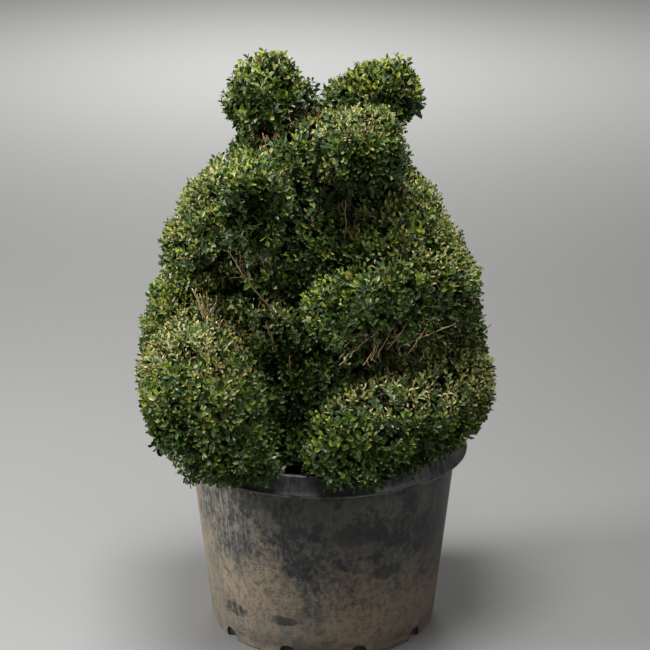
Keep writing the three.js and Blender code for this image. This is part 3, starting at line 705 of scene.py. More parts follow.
class Limb:
    """A curved limb with a radius along it."""

    def __init__(self, name, foot, bend, tip, radii):
        self.name = name
        self.foot, self.bend, self.tip = (np.array(point, dtype=float) for point in (foot, bend, tip))
        self.radii = radii
        self.end = 1.0

    def point(self, t):
        t = np.asarray(t)[..., None]
        return (1 - t) ** 2 * self.foot + 2 * t * (1 - t) * self.bend + t ** 2 * self.tip

    def tangent(self, t):
        t = np.asarray(t)[..., None]
        return unit(2 * (1 - t) * (self.bend - self.foot) + 2 * t * (self.tip - self.bend))

    def radius(self, t, around=0.0):
        """The radius along a limb. The trunk's swells into buttresses at its foot."""
        radius = self.radii[0] + (self.radii[1] - self.radii[0]) * t
        if self.name != "trunk":
            return radius + 0 * around
        rise = t * (self.tip[2] - self.foot[2])
        swell = FLARE["buttress"] * np.cos(FLARE["buttresses"] * around)
        swell = 1 + swell * np.exp(-rise / FLARE["buttress_height"])
        return (radius + FLARE["width"] * np.exp(-rise / FLARE["height"])) * swell

    def at_height(self, height):
        t = np.arange(0, 1, 0.002)
        return self.point(t[np.argmax(self.point(t)[:, 2] >= height)])


def in_pot(points, clearance, open_top=False):
    """In the pot as a whole, or with an open top in its wall or its soil alone."""
    reach = np.hypot(points[..., 0], points[..., 1])
    inside = (reach < LIP_RADIUS + clearance) & (points[..., 2] < POT_HEIGHT + clearance)
    if open_top:
        free = (reach < SOIL_RADIUS - clearance) & (points[..., 2] > SOIL_LEVEL + clearance)
        inside &= ~free
    return inside


def enter(limb, lobe, rivals):
    """How far along its curve a limb runs before it enters the core of its mass."""
    t = 1.0
    while True:
        point = limb.point(t - ENTRY["step"])
        clear = all(rival.depth(point, -CUTTER_MARGIN) > ENTRY["outside"] for rival in rivals)
        if not clear or lobe.depth(point, LEAF_LAYER) >= ENTRY["inside"] or in_pot(point, 0.0015):
            return t
        t -= ENTRY["step"]


def make_limbs(lobes):
    """The trunk and the boughs by the name of their mass, and the stems that carry on from them."""
    trunk = Limb("trunk", TRUNK["foot"], TRUNK["bend"], TRUNK["top"], TRUNK_RADII)
    limbs = {"head": trunk}
    for name, (height, bend, radii) in BOUGHS.items():
        hub = next(lobe.hub for lobe in lobes if lobe.name == name)
        limbs[name] = Limb(f"bough_{name}", trunk.at_height(height), bend, hub, radii)
    stems = {}
    for number, lobe in enumerate(lobes):
        if lobe.name in limbs:
            limb = limbs[lobe.name]
            limb.end = enter(limb, lobe, lobes[:number])
            stems[lobe.name] = limb
        else:
            height, radii = SIDE_STEMS[lobe.name]
            bend = (trunk.at_height(height + SIDE_STEM_RISE) + lobe.hub) / 2
            stems[lobe.name] = Limb("stem", trunk.at_height(height), bend, lobe.hub, radii)
            stems[lobe.name].end = 0.0
    return limbs, stems


# The mesh of a limb's bark: the height of a row and the numbers of sides and rows
BARK = {"row": 0.004, "fewest_rows": 6, "trunk_sides": 72, "bough_sides": 28}


def bark_piece(limb, relief, material):
    """A limb with its bark's relief: ridges that run along it, break up and join again."""
    sides = BARK["trunk_sides"] if limb.name == "trunk" else BARK["bough_sides"]
    length = np.linalg.norm(np.diff(limb.point(np.linspace(0, limb.end, 40)), axis=0), axis=1).sum()
    rows = max(int(length / BARK["row"]), BARK["fewest_rows"])
    t = (np.linspace(0, 1, rows + 1) * limb.end)[:, None]
    around = np.linspace(0, 2 * math.pi, sides, endpoint=False)[None, :]
    tangent = limb.tangent(t[:, 0])
    across = unit(np.cross(tangent, [0.0, 1.0, 0.0]))
    along = np.cross(across, tangent)
    rise = t / limb.end * length
    wander = 1.3 * np.sin(rise * 38) + 0.8 * np.sin(rise * 91 + 2)
    ridges = np.sin(around * 9 + wander) + 0.6 * np.sin(around * 15 - 1.7 * wander + 1)
    ridges = ridges * (0.7 + 0.3 * np.sin(rise * 170 + 3 * around))
    cracks = np.sin(rise * 260 + 4 * np.sin(around * 3 + rise * 30))
    radius = limb.radius(t, around) * (1 - relief / 2 + relief * (0.32 * ridges + 0.18 * cracks))
    centre = limb.point(t[:, 0])[:, None]
    points = (centre + (across[:, None] * np.cos(around)[..., None]
                        + along[:, None] * np.sin(around)[..., None]) * radius[..., None])
    if limb.name == "trunk":
        points[0, :, 2] = limb.foot[2]
    step = np.arange(sides)
    walls = ring_walls(rows, sides)[:, [0, 3, 2, 1]]
    caps = np.stack([step, rows * sides + step[::-1]])
    return add_piece(
        f"{limb.name}_bark", points.reshape(-1, 3), [walls, caps], [material], smooth=True)


# Foliage

# The kinds of leaf: colour, roughness, and how strongly they shine
LEAF_KINDS = {
    "deep": ((0.028, 0.054, 0.006), 0.47, 0.25),
    "bluish": ((0.046, 0.084, 0.030), 0.40, 0.50),
    "mid": ((0.080, 0.130, 0.014), 0.45, 0.33),
    "pale": ((0.190, 0.224, 0.074), 0.47, 0.34),
    "olive": ((0.165, 0.163, 0.034), 0.50, 0.25),
    "fresh": ((0.205, 0.255, 0.022), 0.48, 0.28),
    "straw": ((0.455, 0.372, 0.170), 0.62, 0.20),
    "rust": ((0.280, 0.175, 0.080), 0.62, 0.20),
    "dead": ((0.125, 0.062, 0.032), 0.70, 0.20),
    # The inner kind is near black: partly old leaves, partly painted shade deep inside the foliage
    "inner": ((0.006, 0.013, 0.002), 0.60, 0.20),
}
KINDS = list(LEAF_KINDS)

# How often each kind is dealt to a spray in painted shade and in painted light, in deep painted shade
# where the foliage is kept dark, and on fresh, scorched and dead tips
DEALS = {
    "shade": (0.42, 0.32, 0.19, 0.05, 0.02, 0.00, 0.00, 0.00, 0.00),
    "light": (0.05, 0.12, 0.31, 0.28, 0.20, 0.03, 0.01, 0.00, 0.00),
    "painted_deep_shade": (0.66, 0.24, 0.07, 0.02, 0.01, 0.00, 0.00, 0.00, 0.00),
    "fresh": (0.02, 0.03, 0.17, 0.09, 0.20, 0.48, 0.01, 0.00, 0.00),
    "scorched": (0.02, 0.02, 0.07, 0.15, 0.22, 0.02, 0.45, 0.05, 0.00),
    "dead": (0.05, 0.00, 0.00, 0.00, 0.00, 0.00, 0.05, 0.20, 0.70),
}

# Places of fresh, scorched and dead tips, and woody places with more bare shoots: centre, radius
# and strength. One fresh place is painted light, where the muzzle shades the shoulder.
FRESH = [
    ((-0.112, 0.000, 1.300), 0.070, 0.35),
    # Painted light: paler fresh tips on the shoulder where the muzzle shades it
    ((0.140, -0.130, 0.920), 0.055, 0.45),
    ((0.130, 0.050, 1.265), 0.070, 0.25),
    ((-0.165, -0.190, 1.120), 0.060, 0.6),
    ((-0.095, -0.190, 1.085), 0.035, 0.6),
    ((-0.020, -0.310, 0.570), 0.060, 0.5),
    ((-0.310, 0.000, 0.830), 0.090, 0.8),
    ((0.010, -0.190, 0.830), 0.070, 0.5),
]
SCORCHED = [
    ((-0.260, -0.200, 0.790), 0.110, 1.0),
    ((-0.330, -0.140, 0.740), 0.100, 1.0),
    ((-0.215, -0.250, 0.745), 0.085, 1.0),
    ((0.080, -0.250, 0.645), 0.065, 1.0),
    ((0.150, -0.270, 0.625), 0.075, 0.9),
    ((0.250, -0.190, 0.625), 0.075, 0.9),
    ((0.180, -0.200, 0.655), 0.090, 1.0),
    ((0.270, -0.110, 0.660), 0.090, 1.0),
    ((0.370, -0.050, 0.610), 0.080, 0.8),
    ((0.080, -0.120, 1.200), 0.060, 0.9),
    ((-0.055, -0.030, 1.155), 0.045, 0.7),
    ((0.300, 0.000, 0.960), 0.110, 0.8),
    ((0.230, -0.060, 1.010), 0.070, 0.6),
    ((-0.290, -0.030, 1.000), 0.090, 0.7),
    ((0.230, -0.130, 0.895), 0.090, 0.6),
]
DEAD = [
    ((-0.120, -0.060, 1.125), 0.036, 1.0),
    ((-0.078, -0.105, 1.065), 0.014, 0.8),
    ((-0.215, -0.160, 0.800), 0.035, 0.5),
    ((0.150, -0.235, 0.690), 0.050, 0.3),
]
WOODY = [
    ((-0.040, -0.110, 1.090), 0.085, 0.9),
    ((-0.045, -0.020, 1.165), 0.050, 0.9),
    ((0.030, -0.150, 0.960), 0.090, 1.0),
    ((0.180, -0.230, 0.690), 0.110, 1.0),
    ((-0.200, -0.150, 0.790), 0.070, 1.0),
    ((-0.100, -0.200, 0.800), 0.070, 1.0),
    ((-0.260, -0.200, 0.780), 0.110, 0.5),
]

# Thin places: centre, radius and the share of leaves that stay
THIN = [
    ((-0.235, -0.150, 0.800), 0.040, 0.55),
    ((-0.150, -0.195, 0.850), 0.030, 0.60),
    ((0.060, -0.160, 0.975), 0.040, 0.75),
    ((0.110, -0.235, 0.700), 0.060, 0.35),
    ((0.135, -0.265, 0.745), 0.045, 0.36),
    ((0.070, -0.270, 0.738), 0.035, 0.45),
    ((0.230, -0.170, 0.715), 0.050, 0.60),
    ((-0.058, -0.250, 0.470), 0.028, 0.08),
    ((-0.060, -0.240, 0.520), 0.028, 0.08),
    ((-0.062, -0.225, 0.570), 0.028, 0.08),
    ((-0.060, -0.295, 0.480), 0.026, 0.08),
    ((-0.062, -0.280, 0.530), 0.026, 0.08),
    ((-0.066, -0.260, 0.580), 0.026, 0.12),
    ((-0.119, -0.085, 1.115), 0.035, 0.15),
    ((-0.085, -0.110, 1.065), 0.028, 0.30),
    ((-0.150, -0.225, 1.015), 0.040, 0.40),
    ((-0.040, -0.040, 1.170), 0.030, 0.40),
]

# Places where the clipped surface stands further out or in: centre, radius and distance
SHAPED = [
    ((-0.020, -0.310, 0.470), 0.090, 0.028),
    ((-0.126, -0.130, 0.885), 0.050, 0.034),
    ((-0.150, -0.255, 1.010), 0.050, -0.048),
    ((0.060, -0.330, 0.450), 0.070, 0.014),
    ((-0.380, -0.225, 0.475), 0.090, -0.036),
    ((-0.125, -0.315, 0.470), 0.050, 0.016),
    ((-0.395, -0.100, 0.615), 0.060, 0.014),
    ((0.365, -0.050, 0.590), 0.050, 0.012),
    ((-0.030, 0.000, 1.210), 0.040, 0.014),
    ((-0.204, 0.000, 1.140), 0.040, -0.014),
    ((0.214, 0.070, 1.145), 0.035, -0.010),
    ((-0.122, -0.060, 1.120), 0.030, -0.020),
    ((0.085, -0.245, 0.610), 0.090, 0.032),
    ((0.200, -0.160, 0.635), 0.100, 0.026),
    ((0.150, -0.210, 0.620), 0.090, 0.012),
    ((0.300, -0.080, 0.645), 0.070, 0.012),
    ((-0.075, -0.200, 0.680), 0.045, -0.020),
    ((-0.085, -0.270, 0.540), 0.060, -0.026),
    ((0.090, -0.200, 0.665), 0.050, -0.030),
    ((-0.100, -0.130, 0.960), 0.050, -0.020),
    ((-0.185, 0.000, 1.230), 0.060, 0.008),
    ((-0.120, 0.000, 1.300), 0.040, 0.005),
    ((0.020, -0.265, 0.810), 0.035, -0.028),
    ((0.140, -0.130, 0.925), 0.060, 0.040),
]

# Places of painted light, where the foliage is dealt paler kinds, and of painted shade, where it
# stays deep green: centre, radius and strength
PAINTED_LIGHT_PLACES = [
    ((-0.290, -0.250, 0.560), 0.150, 0.60),
    ((-0.340, -0.120, 0.640), 0.110, 0.50),
    ((-0.310, -0.060, 0.930), 0.110, 0.40),
    ((0.280, -0.060, 0.920), 0.130, 0.50),
    ((0.280, -0.160, 0.600), 0.110, 0.60),
    ((0.130, -0.220, 0.610), 0.070, 0.60),
    ((0.060, -0.140, 1.190), 0.060, 0.40),
    ((0.153, -0.124, 0.915), 0.050, 0.90),
    ((0.150, -0.100, 0.965), 0.045, 0.60),
    ((0.089, -0.152, 0.920), 0.045, 0.80),
    ((-0.165, -0.228, 0.677), 0.045, 0.50),
    ((-0.105, -0.090, 0.640), 0.060, 0.90),
    ((-0.039, -0.178, 0.655), 0.050, 0.60),
    ((0.290, -0.117, 0.639), 0.050, 0.70),
    ((-0.360, -0.200, 0.590), 0.060, 0.60),
    ((-0.038, -0.121, 1.041), 0.045, 0.70),
    ((-0.232, -0.100, 0.838), 0.045, 0.60),
]
PAINTED_SHADE_PLACES = [
    ((-0.080, -0.240, 0.560), 0.090, 1.0),
    ((-0.070, -0.200, 0.700), 0.070, 0.3),
    ((-0.060, -0.150, 0.960), 0.090, 0.7),
    ((0.090, -0.200, 0.670), 0.070, 0.4),
    ((0.060, -0.330, 0.490), 0.110, 1.0),
    ((0.180, -0.260, 0.510), 0.110, 0.8),
    ((-0.140, -0.270, 0.970), 0.100, 1.0),
    ((0.060, -0.250, 0.790), 0.100, 1.0),
    ((0.190, -0.220, 0.780), 0.090, 1.0),
    ((-0.160, -0.240, 1.040), 0.090, 0.9),
    ((0.130, -0.330, 0.850), 0.110, 0.5),
    ((-0.112, -0.060, 1.150), 0.070, 0.9),
    ((0.120, 0.000, 1.150), 0.070, 0.8),
    ((0.110, -0.190, 1.080), 0.060, 0.7),
    ((-0.162, -0.330, 0.570), 0.050, 1.0),
    ((-0.130, -0.340, 0.510), 0.070, 1.0),
    ((0.040, -0.315, 0.575), 0.060, 1.0),
    ((-0.030, -0.200, 0.800), 0.050, 1.0),
    ((0.216, -0.197, 0.735), 0.045, 0.8),
    ((-0.102, -0.047, 1.219), 0.035, 0.7),
    ((0.025, -0.156, 1.178), 0.030, 0.6),
    ((0.150, -0.145, 1.175), 0.030, 0.5),
    ((-0.100, -0.157, 1.114), 0.035, 0.7),
]

# Stems that show in the hollows, by mass: foot, bend, tip, and radii at both ends
SHOWN = {
    "paw_left": [
        ((-0.095, -0.190, 0.770), (-0.145, -0.205, 0.835), (-0.176, -0.205, 0.885), (0.0022, 0.0018)),
        ((-0.174, -0.205, 0.882), (-0.185, -0.208, 0.900), (-0.200, -0.200, 0.925), (0.0017, 0.0009)),
        ((-0.174, -0.205, 0.882), (-0.172, -0.208, 0.900), (-0.174, -0.200, 0.920), (0.0015, 0.0008)),
    ],
    "leg_left": [
        ((-0.250, -0.160, 0.755), (-0.264, -0.165, 0.795), (-0.278, -0.160, 0.825), (0.0022, 0.0010)),
        ((-0.247, -0.160, 0.755), (-0.256, -0.167, 0.790), (-0.262, -0.162, 0.815), (0.0020, 0.0010)),
        ((-0.245, -0.160, 0.755), (-0.243, -0.167, 0.785), (-0.247, -0.164, 0.820), (0.0020, 0.0009)),
        ((-0.240, -0.160, 0.755), (-0.228, -0.168, 0.780), (-0.226, -0.165, 0.808), (0.0015, 0.0008)),
    ],
    "belly": [
        ((-0.104, -0.200, 0.715), (-0.112, -0.215, 0.740), (-0.120, -0.205, 0.765), (0.0015, 0.0008)),
        ((-0.060, -0.190, 0.640), (-0.075, -0.215, 0.660), (-0.070, -0.205, 0.690), (0.0014, 0.0008)),
    ],
    "muzzle": [
        ((0.045, -0.120, 0.900), (0.050, -0.160, 0.960), (0.046, -0.165, 1.020), (0.0014, 0.0008)),
        ((0.047, -0.120, 0.900), (0.062, -0.160, 0.955), (0.080, -0.165, 1.005), (0.0013, 0.0007)),
    ],
    "forearm_right": [
        ((0.096, -0.225, 0.765), (0.128, -0.264, 0.738), (0.084, -0.271, 0.690), (0.0020, 0.0010)),
        ((0.118, -0.235, 0.735), (0.110, -0.271, 0.715), (0.100, -0.271, 0.700), (0.0015, 0.0008)),
        ((0.074, -0.225, 0.738), (0.058, -0.267, 0.715), (0.034, -0.271, 0.690), (0.0018, 0.0009)),
        ((0.284, -0.160, 0.748), (0.210, -0.214, 0.735), (0.155, -0.224, 0.712), (0.0015, 0.0009)),
        ((0.163, -0.200, 0.752), (0.160, -0.229, 0.730), (0.155, -0.227, 0.712), (0.0015, 0.0009)),
        ((0.226, -0.180, 0.714), (0.216, -0.209, 0.700), (0.203, -0.209, 0.676), (0.0015, 0.0008)),
        ((0.157, -0.222, 0.783), (0.136, -0.271, 0.748), (0.107, -0.269, 0.700), (0.0010, 0.0006)),
        ((0.130, -0.235, 0.771), (0.090, -0.275, 0.743), (0.057, -0.271, 0.715), (0.0010, 0.0006)),
        ((0.186, -0.220, 0.783), (0.161, -0.263, 0.753), (0.132, -0.265, 0.722), (0.0010, 0.0006)),
        ((0.102, -0.235, 0.779), (0.069, -0.277, 0.754), (0.044, -0.275, 0.732), (0.0009, 0.0005)),
        ((0.226, -0.190, 0.763), (0.200, -0.239, 0.730), (0.171, -0.241, 0.700), (0.0010, 0.0006)),
    ],
    "head": [
        ((-0.118, -0.030, 1.085), (-0.120, -0.055, 1.105), (-0.128, -0.062, 1.140), (0.0016, 0.0009)),
        ((-0.030, 0.000, 1.150), (-0.036, -0.040, 1.175), (-0.040, -0.034, 1.205), (0.0012, 0.0007)),
        ((-0.045, -0.010, 1.130), (-0.060, -0.065, 1.150), (-0.072, -0.055, 1.172), (0.0012, 0.0007)),
        ((-0.020, -0.010, 1.140), (-0.015, -0.055, 1.165), (-0.008, -0.050, 1.190), (0.0011, 0.0006)),
        ((-0.080, -0.080, 1.040), (-0.076, -0.115, 1.060), (-0.062, -0.118, 1.080), (0.0014, 0.0008)),
        ((-0.080, -0.080, 1.040), (-0.084, -0.115, 1.060), (-0.096, -0.118, 1.078), (0.0014, 0.0008)),
    ],
}

# Shoots: how many directions are tried and how many points of each place, the least gap as a share
# of the spacing, how an axis turns up, up from an underside, away from its clump's middle and at
# random, the share of bare shoots, its growth at woody places, the height above the pot where they
# start, and the margin round the earlier masses
SHOOT = {
    "directions": 60000, "tries": 3.0, "least_gap": 0.86, "lift": 0.55, "hanging_lift": 0.10,
    "fan": 0.42, "stray": 0.24, "bare": 0.05, "woody": 0.30, "bare_from": 0.06,
    "margin": 0.006,
}

# Clumps of shoots on a clipped surface: their size and roundness, how far all shoots and the middle
# of a clump stand out, how unevenly clumps and shoots do, and the depth and size of hollows
CLUMP = {
    "size": 0.056, "roundness": 0.62, "reach": -0.001, "bulge": 0.011, "uneven": 0.003,
    "stray": 0.002, "hollow": 0.010, "hollow_size": 0.11,
}

# Long shoots that the shears missed: their share, and how far the shortest and longest stand out
LONG_SHOOTS = {"share": 0.03, "least": 0.003, "most": 0.010}

# Undersides of the high masses: how far down a surface has to face and how softly that begins, the
# added share of bare shoots, and the share of fallen leaves
UNDERSIDE = {"facing": -0.30, "softness": 0.25, "bare": 0.35, "leaves": 0.45}
HIGH_MASSES = ("ear_left", "ear_right", "muzzle", "paw_left", "forearm_right", "head", "chest")

# Masses that stand behind the others have no scorched tips
SHELTERED = ("belly", "chest", "seat")

# Painted light that decides between the shade's and the light's kinds, so that tops come out paler
# and surfaces that face right darker: its middle, how it grows upwards and falls to the right, and how
# patchy it is
PAINTED_LIGHT = {"middle": 0.27, "upward": 0.95, "rightward": -0.10, "patchy": 0.30, "patch": 0.09}

# Leaves: sizes of the pairs from the tip inwards, the lean of the first pair, its growth and its
# limit in degrees, how the faces turn outwards and at random, the share of leaves of the shoot's
# second kind, the shares of old leaves in the third and in the inner pairs, dark partly as painted
# shade inside the foliage, the length of a dry leaf, and how much the leaves of a patch and of
# scorched places differ in size
LEAF = {
    "sizes": (0.62, 0.86, 1.0, 1.05), "lean": 31, "lean_step": 11, "most_lean": 68, "outward": 0.45,
    "stray": 0.42, "mates": 0.38, "old": 0.6, "inner_old": 0.9, "dry_length": 0.80, "patchy": 0.20,
    "patch": 0.10, "scorched": -0.18,
}
DRY_KINDS = ("straw", "rust", "dead")

# Twigs from a mass's limb outwards, level by level: radii at both ends, sides, segments and sag
TWIGS = [
    (0.0048, 0.0030, 5, 4, 0.020),
    (0.0027, 0.0017, 4, 3, 0.012),
    (0.0013, 0.0009, 3, 1, 0.0),
    (0.0009, 0.0004, 3, 1, 0.0),
]

# The points where twigs fork, in two steps: their spacing and how far they lie back to the hub
FORKS = [(0.052, 0.22), (0.105, 0.42)]

# How far inside its tip a bare and a leafy shoot ends
SHOOT_ENDS = (0.016, 0.007)


def nearness(points, centre, radius, reach):
    """1 near a centre, and 0 from as many radii away as the reach says."""
    distance = np.linalg.norm(points - np.array(centre), axis=-1)
    return np.clip(reach - distance / radius, 0, 1)


def near_places(points, places):
    """How strongly each point lies in any of these places, from 0 to 1."""
    strength = np.zeros(len(points))
    for centre, radius, most in places:
        strength = np.maximum(strength, most * nearness(points, centre, radius, 1.6))
    return strength


class Shoots:
    """The leafy shoots of one mass: tips on its clipped surface, axes, feet and kinds of leaf."""

    def __init__(self, number, lobes, foliage):
        self.lobe = lobes[number]
        self.rivals = lobes[:number]
        self.later = lobes[number + 1:]
        self.foliage = foliage
        self.random = np.random.default_rng(foliage.seed + number)
        self.plant()

    def plant(self):
        """Place the shoots on the surface and give each its axis and length."""
        random = self.random
        tips, outward = self.seeded()
        aside, push = self.clumped(tips, outward)
        tips = tips + outward * push[:, None]
        lift = np.where(outward[:, 2:] > UNDERSIDE["facing"], SHOOT["lift"], SHOOT["hanging_lift"])
        up = np.array([0, 0, 1.0]) * lift
        free = self.is_free(tips)
        tips, outward, aside, up = tips[free], outward[free], aside[free], up[free]
        count = len(tips)
        stray = SHOOT["stray"] * random.normal(size=(count, 3))
        self.axis = unit(outward + up + SHOOT["fan"] * aside + stray)
        below = np.clip((UNDERSIDE["facing"] - outward[:, 2]) / UNDERSIDE["softness"], 0, 1)
        self.below = below * (self.lobe.name in HIGH_MASSES)
        chance = SHOOT["bare"] + SHOOT["woody"] * near_places(tips, WOODY) + UNDERSIDE["bare"] * self.below
        self.bare = (random.random(count) < chance) & (tips[:, 2] > POT_HEIGHT + SHOOT["bare_from"])
        length = self.foliage.shoot_length * random.uniform(0.82, 1.15, count)
        self.tips = tips
        self.outward = outward
        self.feet = tips - self.axis * length[:, None]
        self.deal()

    def seeded(self):
        """Evenly spaced free points of the clipped surface, and the directions out of it."""
        lobe, random, spacing = self.lobe, self.random, self.foliage.spacing
        dense = fibonacci(SHOOT["directions"])
        area = lobe.area_at(dense)
        total = area.mean() * 4 * math.pi
        wanted = SHOOT["tries"] * total / spacing ** 2
        chance = area / area.mean() * wanted / len(dense)
        directions = dense[random.random(len(dense)) < chance]
        directions = directions[random.permutation(len(directions))]
        tips = lobe.surface(directions)
        outward = unit(tips - lobe.surface(directions, LEAF_LAYER))
        free = self.is_free(tips)
        tips, outward = tips[free], outward[free]
        kept = thinned(tips, spacing * SHOOT["least_gap"])
        return tips[kept], outward[kept]

    def clumped(self, tips, outward):
        """Each shoot's way from its clump's middle, and how far it stands out of the surface."""
        random, count = self.random, len(tips)
        clumps = tips[thinned(tips, CLUMP["size"])]
        clump = nearest(tips, clumps)
        aside = tips - clumps[clump]
        aside = (aside - outward * (aside * outward).sum(axis=1, keepdims=True)) / CLUMP["size"]
        bulge = np.clip(1 - ((aside / CLUMP["roundness"]) ** 2).sum(axis=1), 0, 1)
        hollow = np.clip(patchiness(tips, CLUMP["hollow_size"], self.foliage.seed + 7), 0, 1)
        push = CLUMP["reach"] + CLUMP["bulge"] * bulge
        push += CLUMP["uneven"] * random.normal(size=len(clumps))[clump]
        push += CLUMP["stray"] * random.normal(size=count)
        push -= CLUMP["hollow"] * hollow
        missed = random.random(count) < LONG_SHOOTS["share"]
        push += np.where(missed, random.uniform(LONG_SHOOTS["least"], LONG_SHOOTS["most"], count), 0)
        for centre, radius, distance in SHAPED:
            push += distance * nearness(tips, centre, radius, 1.5)
        return aside, push

    def is_free(self, points):
        """Clear of the earlier masses, of the pot and of the deep inside of the later masses."""
        free = ~in_pot(points, 0.003, open_top=True)
        for rival in self.rivals:
            free &= rival.depth(points, -SHOOT["margin"]) > 1
        for other in self.later:
            free &= other.depth(points, min(0.050, 0.55 * other.half.min())) > 1
        return free

    def deal(self):
        """Each shoot is dealt two kinds of leaf by where it is, paler as painted light and darker as
        painted shade.
        """
        tips, seed = self.tips, self.foliage.seed
        # Painted light and shade: tops paler, right-facing sides darker, and the listed places paler or
        # darker
        light = PAINTED_LIGHT["middle"] + PAINTED_LIGHT["upward"] * self.outward[:, 2]
        light += PAINTED_LIGHT["rightward"] * self.outward[:, 0]
        light += PAINTED_LIGHT["patchy"] * patchiness(tips, PAINTED_LIGHT["patch"], seed + 1) + near_places(tips, PAINTED_LIGHT_PLACES)
        light = np.clip(light, 0, 1)
        painted_deep_shade = near_places(tips, PAINTED_SHADE_PLACES)
        fresh = near_places(tips, FRESH) * (0.35 + 0.65 * (self.outward[:, 2] > 0.1))
        scorched = near_places(tips, SCORCHED) * (0.70 + 0.30 * np.sign(patchiness(tips, 0.04, seed + 2)))
        scorched = np.maximum(scorched, 0.13 * (patchiness(tips, 0.07, seed + 3) > 0.75))
        scorched *= self.lobe.name not in SHELTERED
        deal = (1 - light)[:, None] * np.array(DEALS["shade"]) + light[:, None] * np.array(DEALS["light"])
        dead = near_places(tips, DEAD)
        special = ((painted_deep_shade, "painted_deep_shade"), (fresh, "fresh"), (scorched, "scorched"), (dead, "dead"))
        for strength, name in special:
            deal = deal * (1 - strength)[:, None] + strength[:, None] * np.array(DEALS[name])
        steps = np.cumsum(deal / deal.sum(axis=1, keepdims=True), axis=1)
        self.kind = self.drawn(steps)
        self.mate = self.drawn(steps)

    def drawn(self, steps):
        """A kind for each shoot by chance, from the running sums of how often each is dealt."""
        draw = self.random.random(len(steps))[:, None]
        return (draw > steps).sum(axis=1).clip(0, steps.shape[1] - 1)

    def leaves(self):
        """Points (leaves, 6, 3) and kinds of all the leaves that keep to their space."""
        random, foliage, count = self.random, self.foliage, len(self.tips)
        aside = unit(np.cross(self.axis, random.normal(size=self.axis.shape)))
        other = np.cross(self.axis, aside)
        blades, kinds, roots = [], [], []
        twist = random.uniform(0, math.pi, count)
        dry_kinds = [KINDS.index(name) for name in DRY_KINDS]
        grown = foliage.leaf_length * random.uniform(0.84, 1.16, count)
        grown *= 1 + LEAF["patchy"] * patchiness(self.tips, LEAF["patch"], foliage.seed + 4)
        grown *= 1 + LEAF["scorched"] * near_places(self.tips, SCORCHED)
        for pair in range(foliage.pairs):
            back = foliage.pair_step * pair * random.uniform(0.85, 1.15, count)
            size = LEAF["sizes"][min(pair, len(LEAF["sizes"]) - 1)] * grown
            lean = math.radians(min(LEAF["lean"] + LEAF["lean_step"] * pair, LEAF["most_lean"]))
            for half in range(2):
                around = twist + pair * math.pi / 2 + half * math.pi
                around = around + random.normal(size=count) * 0.25
                tilt = lean + random.normal(size=count) * 0.17
                length = size * random.uniform(0.84, 1.12, count)
                side = aside * np.cos(around)[:, None] + other * np.sin(around)[:, None]
                run = unit(self.axis * np.cos(tilt)[:, None] + side * np.sin(tilt)[:, None])
                face = self.axis * np.sin(tilt)[:, None] - side * np.cos(tilt)[:, None]
                face = face + LEAF["outward"] * self.outward
                face = face + LEAF["stray"] * random.normal(size=face.shape)
                face = unit(face - run * (face * run).sum(axis=1, keepdims=True))
                base = self.tips - self.axis * (back + 0.75 * size)[:, None]
                kind = np.where(random.random(count) < LEAF["mates"], self.mate, self.kind)
                if pair >= 2:
                    kind = self.aged(kind, pair)
                dry = np.isin(kind, dry_kinds)
                length = length * np.where(dry, LEAF["dry_length"], 1.0)
                blades.append(self.blade(base, run, face, length, dry))
                kinds.append(kind)
                roots.append(base)
        blades, kinds = np.concatenate(blades), np.concatenate(kinds)
        roots = np.concatenate(roots)
        rounds = 2 * foliage.pairs
        leafy = np.tile(~self.bare, rounds)
        fewer = np.tile(UNDERSIDE["leaves"] * self.below, rounds)
        leafy &= random.random(len(leafy)) > fewer
        keep = self.keeps_to_space(blades, roots) & leafy
        left = np.bincount(np.tile(np.arange(count), rounds)[keep], minlength=count)
        self.alive = (left > 3) | self.bare
        return blades[keep], kinds[keep]

    def aged(self, kind, pair):
        """The inner leaves of a shoot are older: most are deep green, and the innermost are darkest, near
        black as painted shade.
        """
        chance = LEAF["old"] if pair == 2 else LEAF["inner_old"]
        chance = chance * np.where(kind == KINDS.index("straw"), 0.5, 1)
        old = self.random.random(len(kind)) < chance
        usual = KINDS.index("inner" if pair > 3 else "deep")
        green = np.where(self.random.random(len(kind)) < 0.65, usual, KINDS.index("bluish"))
        return np.where(old, green, kind)

    def blade(self, base, run, face, length, dry):
        """A leaf folded a little along its rib, with its tip turned back. A dry one is narrower."""
        across = np.cross(run, face)
        half = (length * self.foliage.leaf_width * np.where(dry, 0.33, 0.5))[:, None]
        length = length[:, None]
        lift = 0.30 * half * face
        points = [
            base,
            base + 0.34 * length * run + 0.90 * half * across + lift,
            base + 0.77 * length * run + 0.86 * half * across + lift * 0.7,
            base + length * run - 0.10 * length * face,
            base + 0.77 * length * run - 0.86 * half * across + lift * 0.7,
            base + 0.34 * length * run - 0.90 * half * across + lift,
        ]
        return np.stack(points, axis=1)

    def keeps_to_space(self, blades, roots):
        """Leaves clear of the pot and of the earlier masses, fewer of them at the thin places."""
        tips, middle = blades[:, 3], (blades[:, 1] + blades[:, 4]) / 2
        low, high = np.array(CAD_LOW), np.array(CAD_HIGH)
        keep = self.lobe.depth(tips, -0.060) < 1
        keep &= ((blades > low - OVERHANG) & (blades < high + OVERHANG)).all(axis=(1, 2))
        for points in (tips, middle):
            keep &= ~in_pot(points, 0.001, open_top=True)
            for rival in self.rivals:
                keep &= rival.depth(points, -0.002) > 1
        for centre, radius, share in THIN:
            reach = radius * self.random.uniform(0.6, 1.3, len(roots))
            near = np.linalg.norm(roots - np.array(centre), axis=1) < reach
            keep &= ~(near & (self.random.random(len(roots)) > share))
        return keep

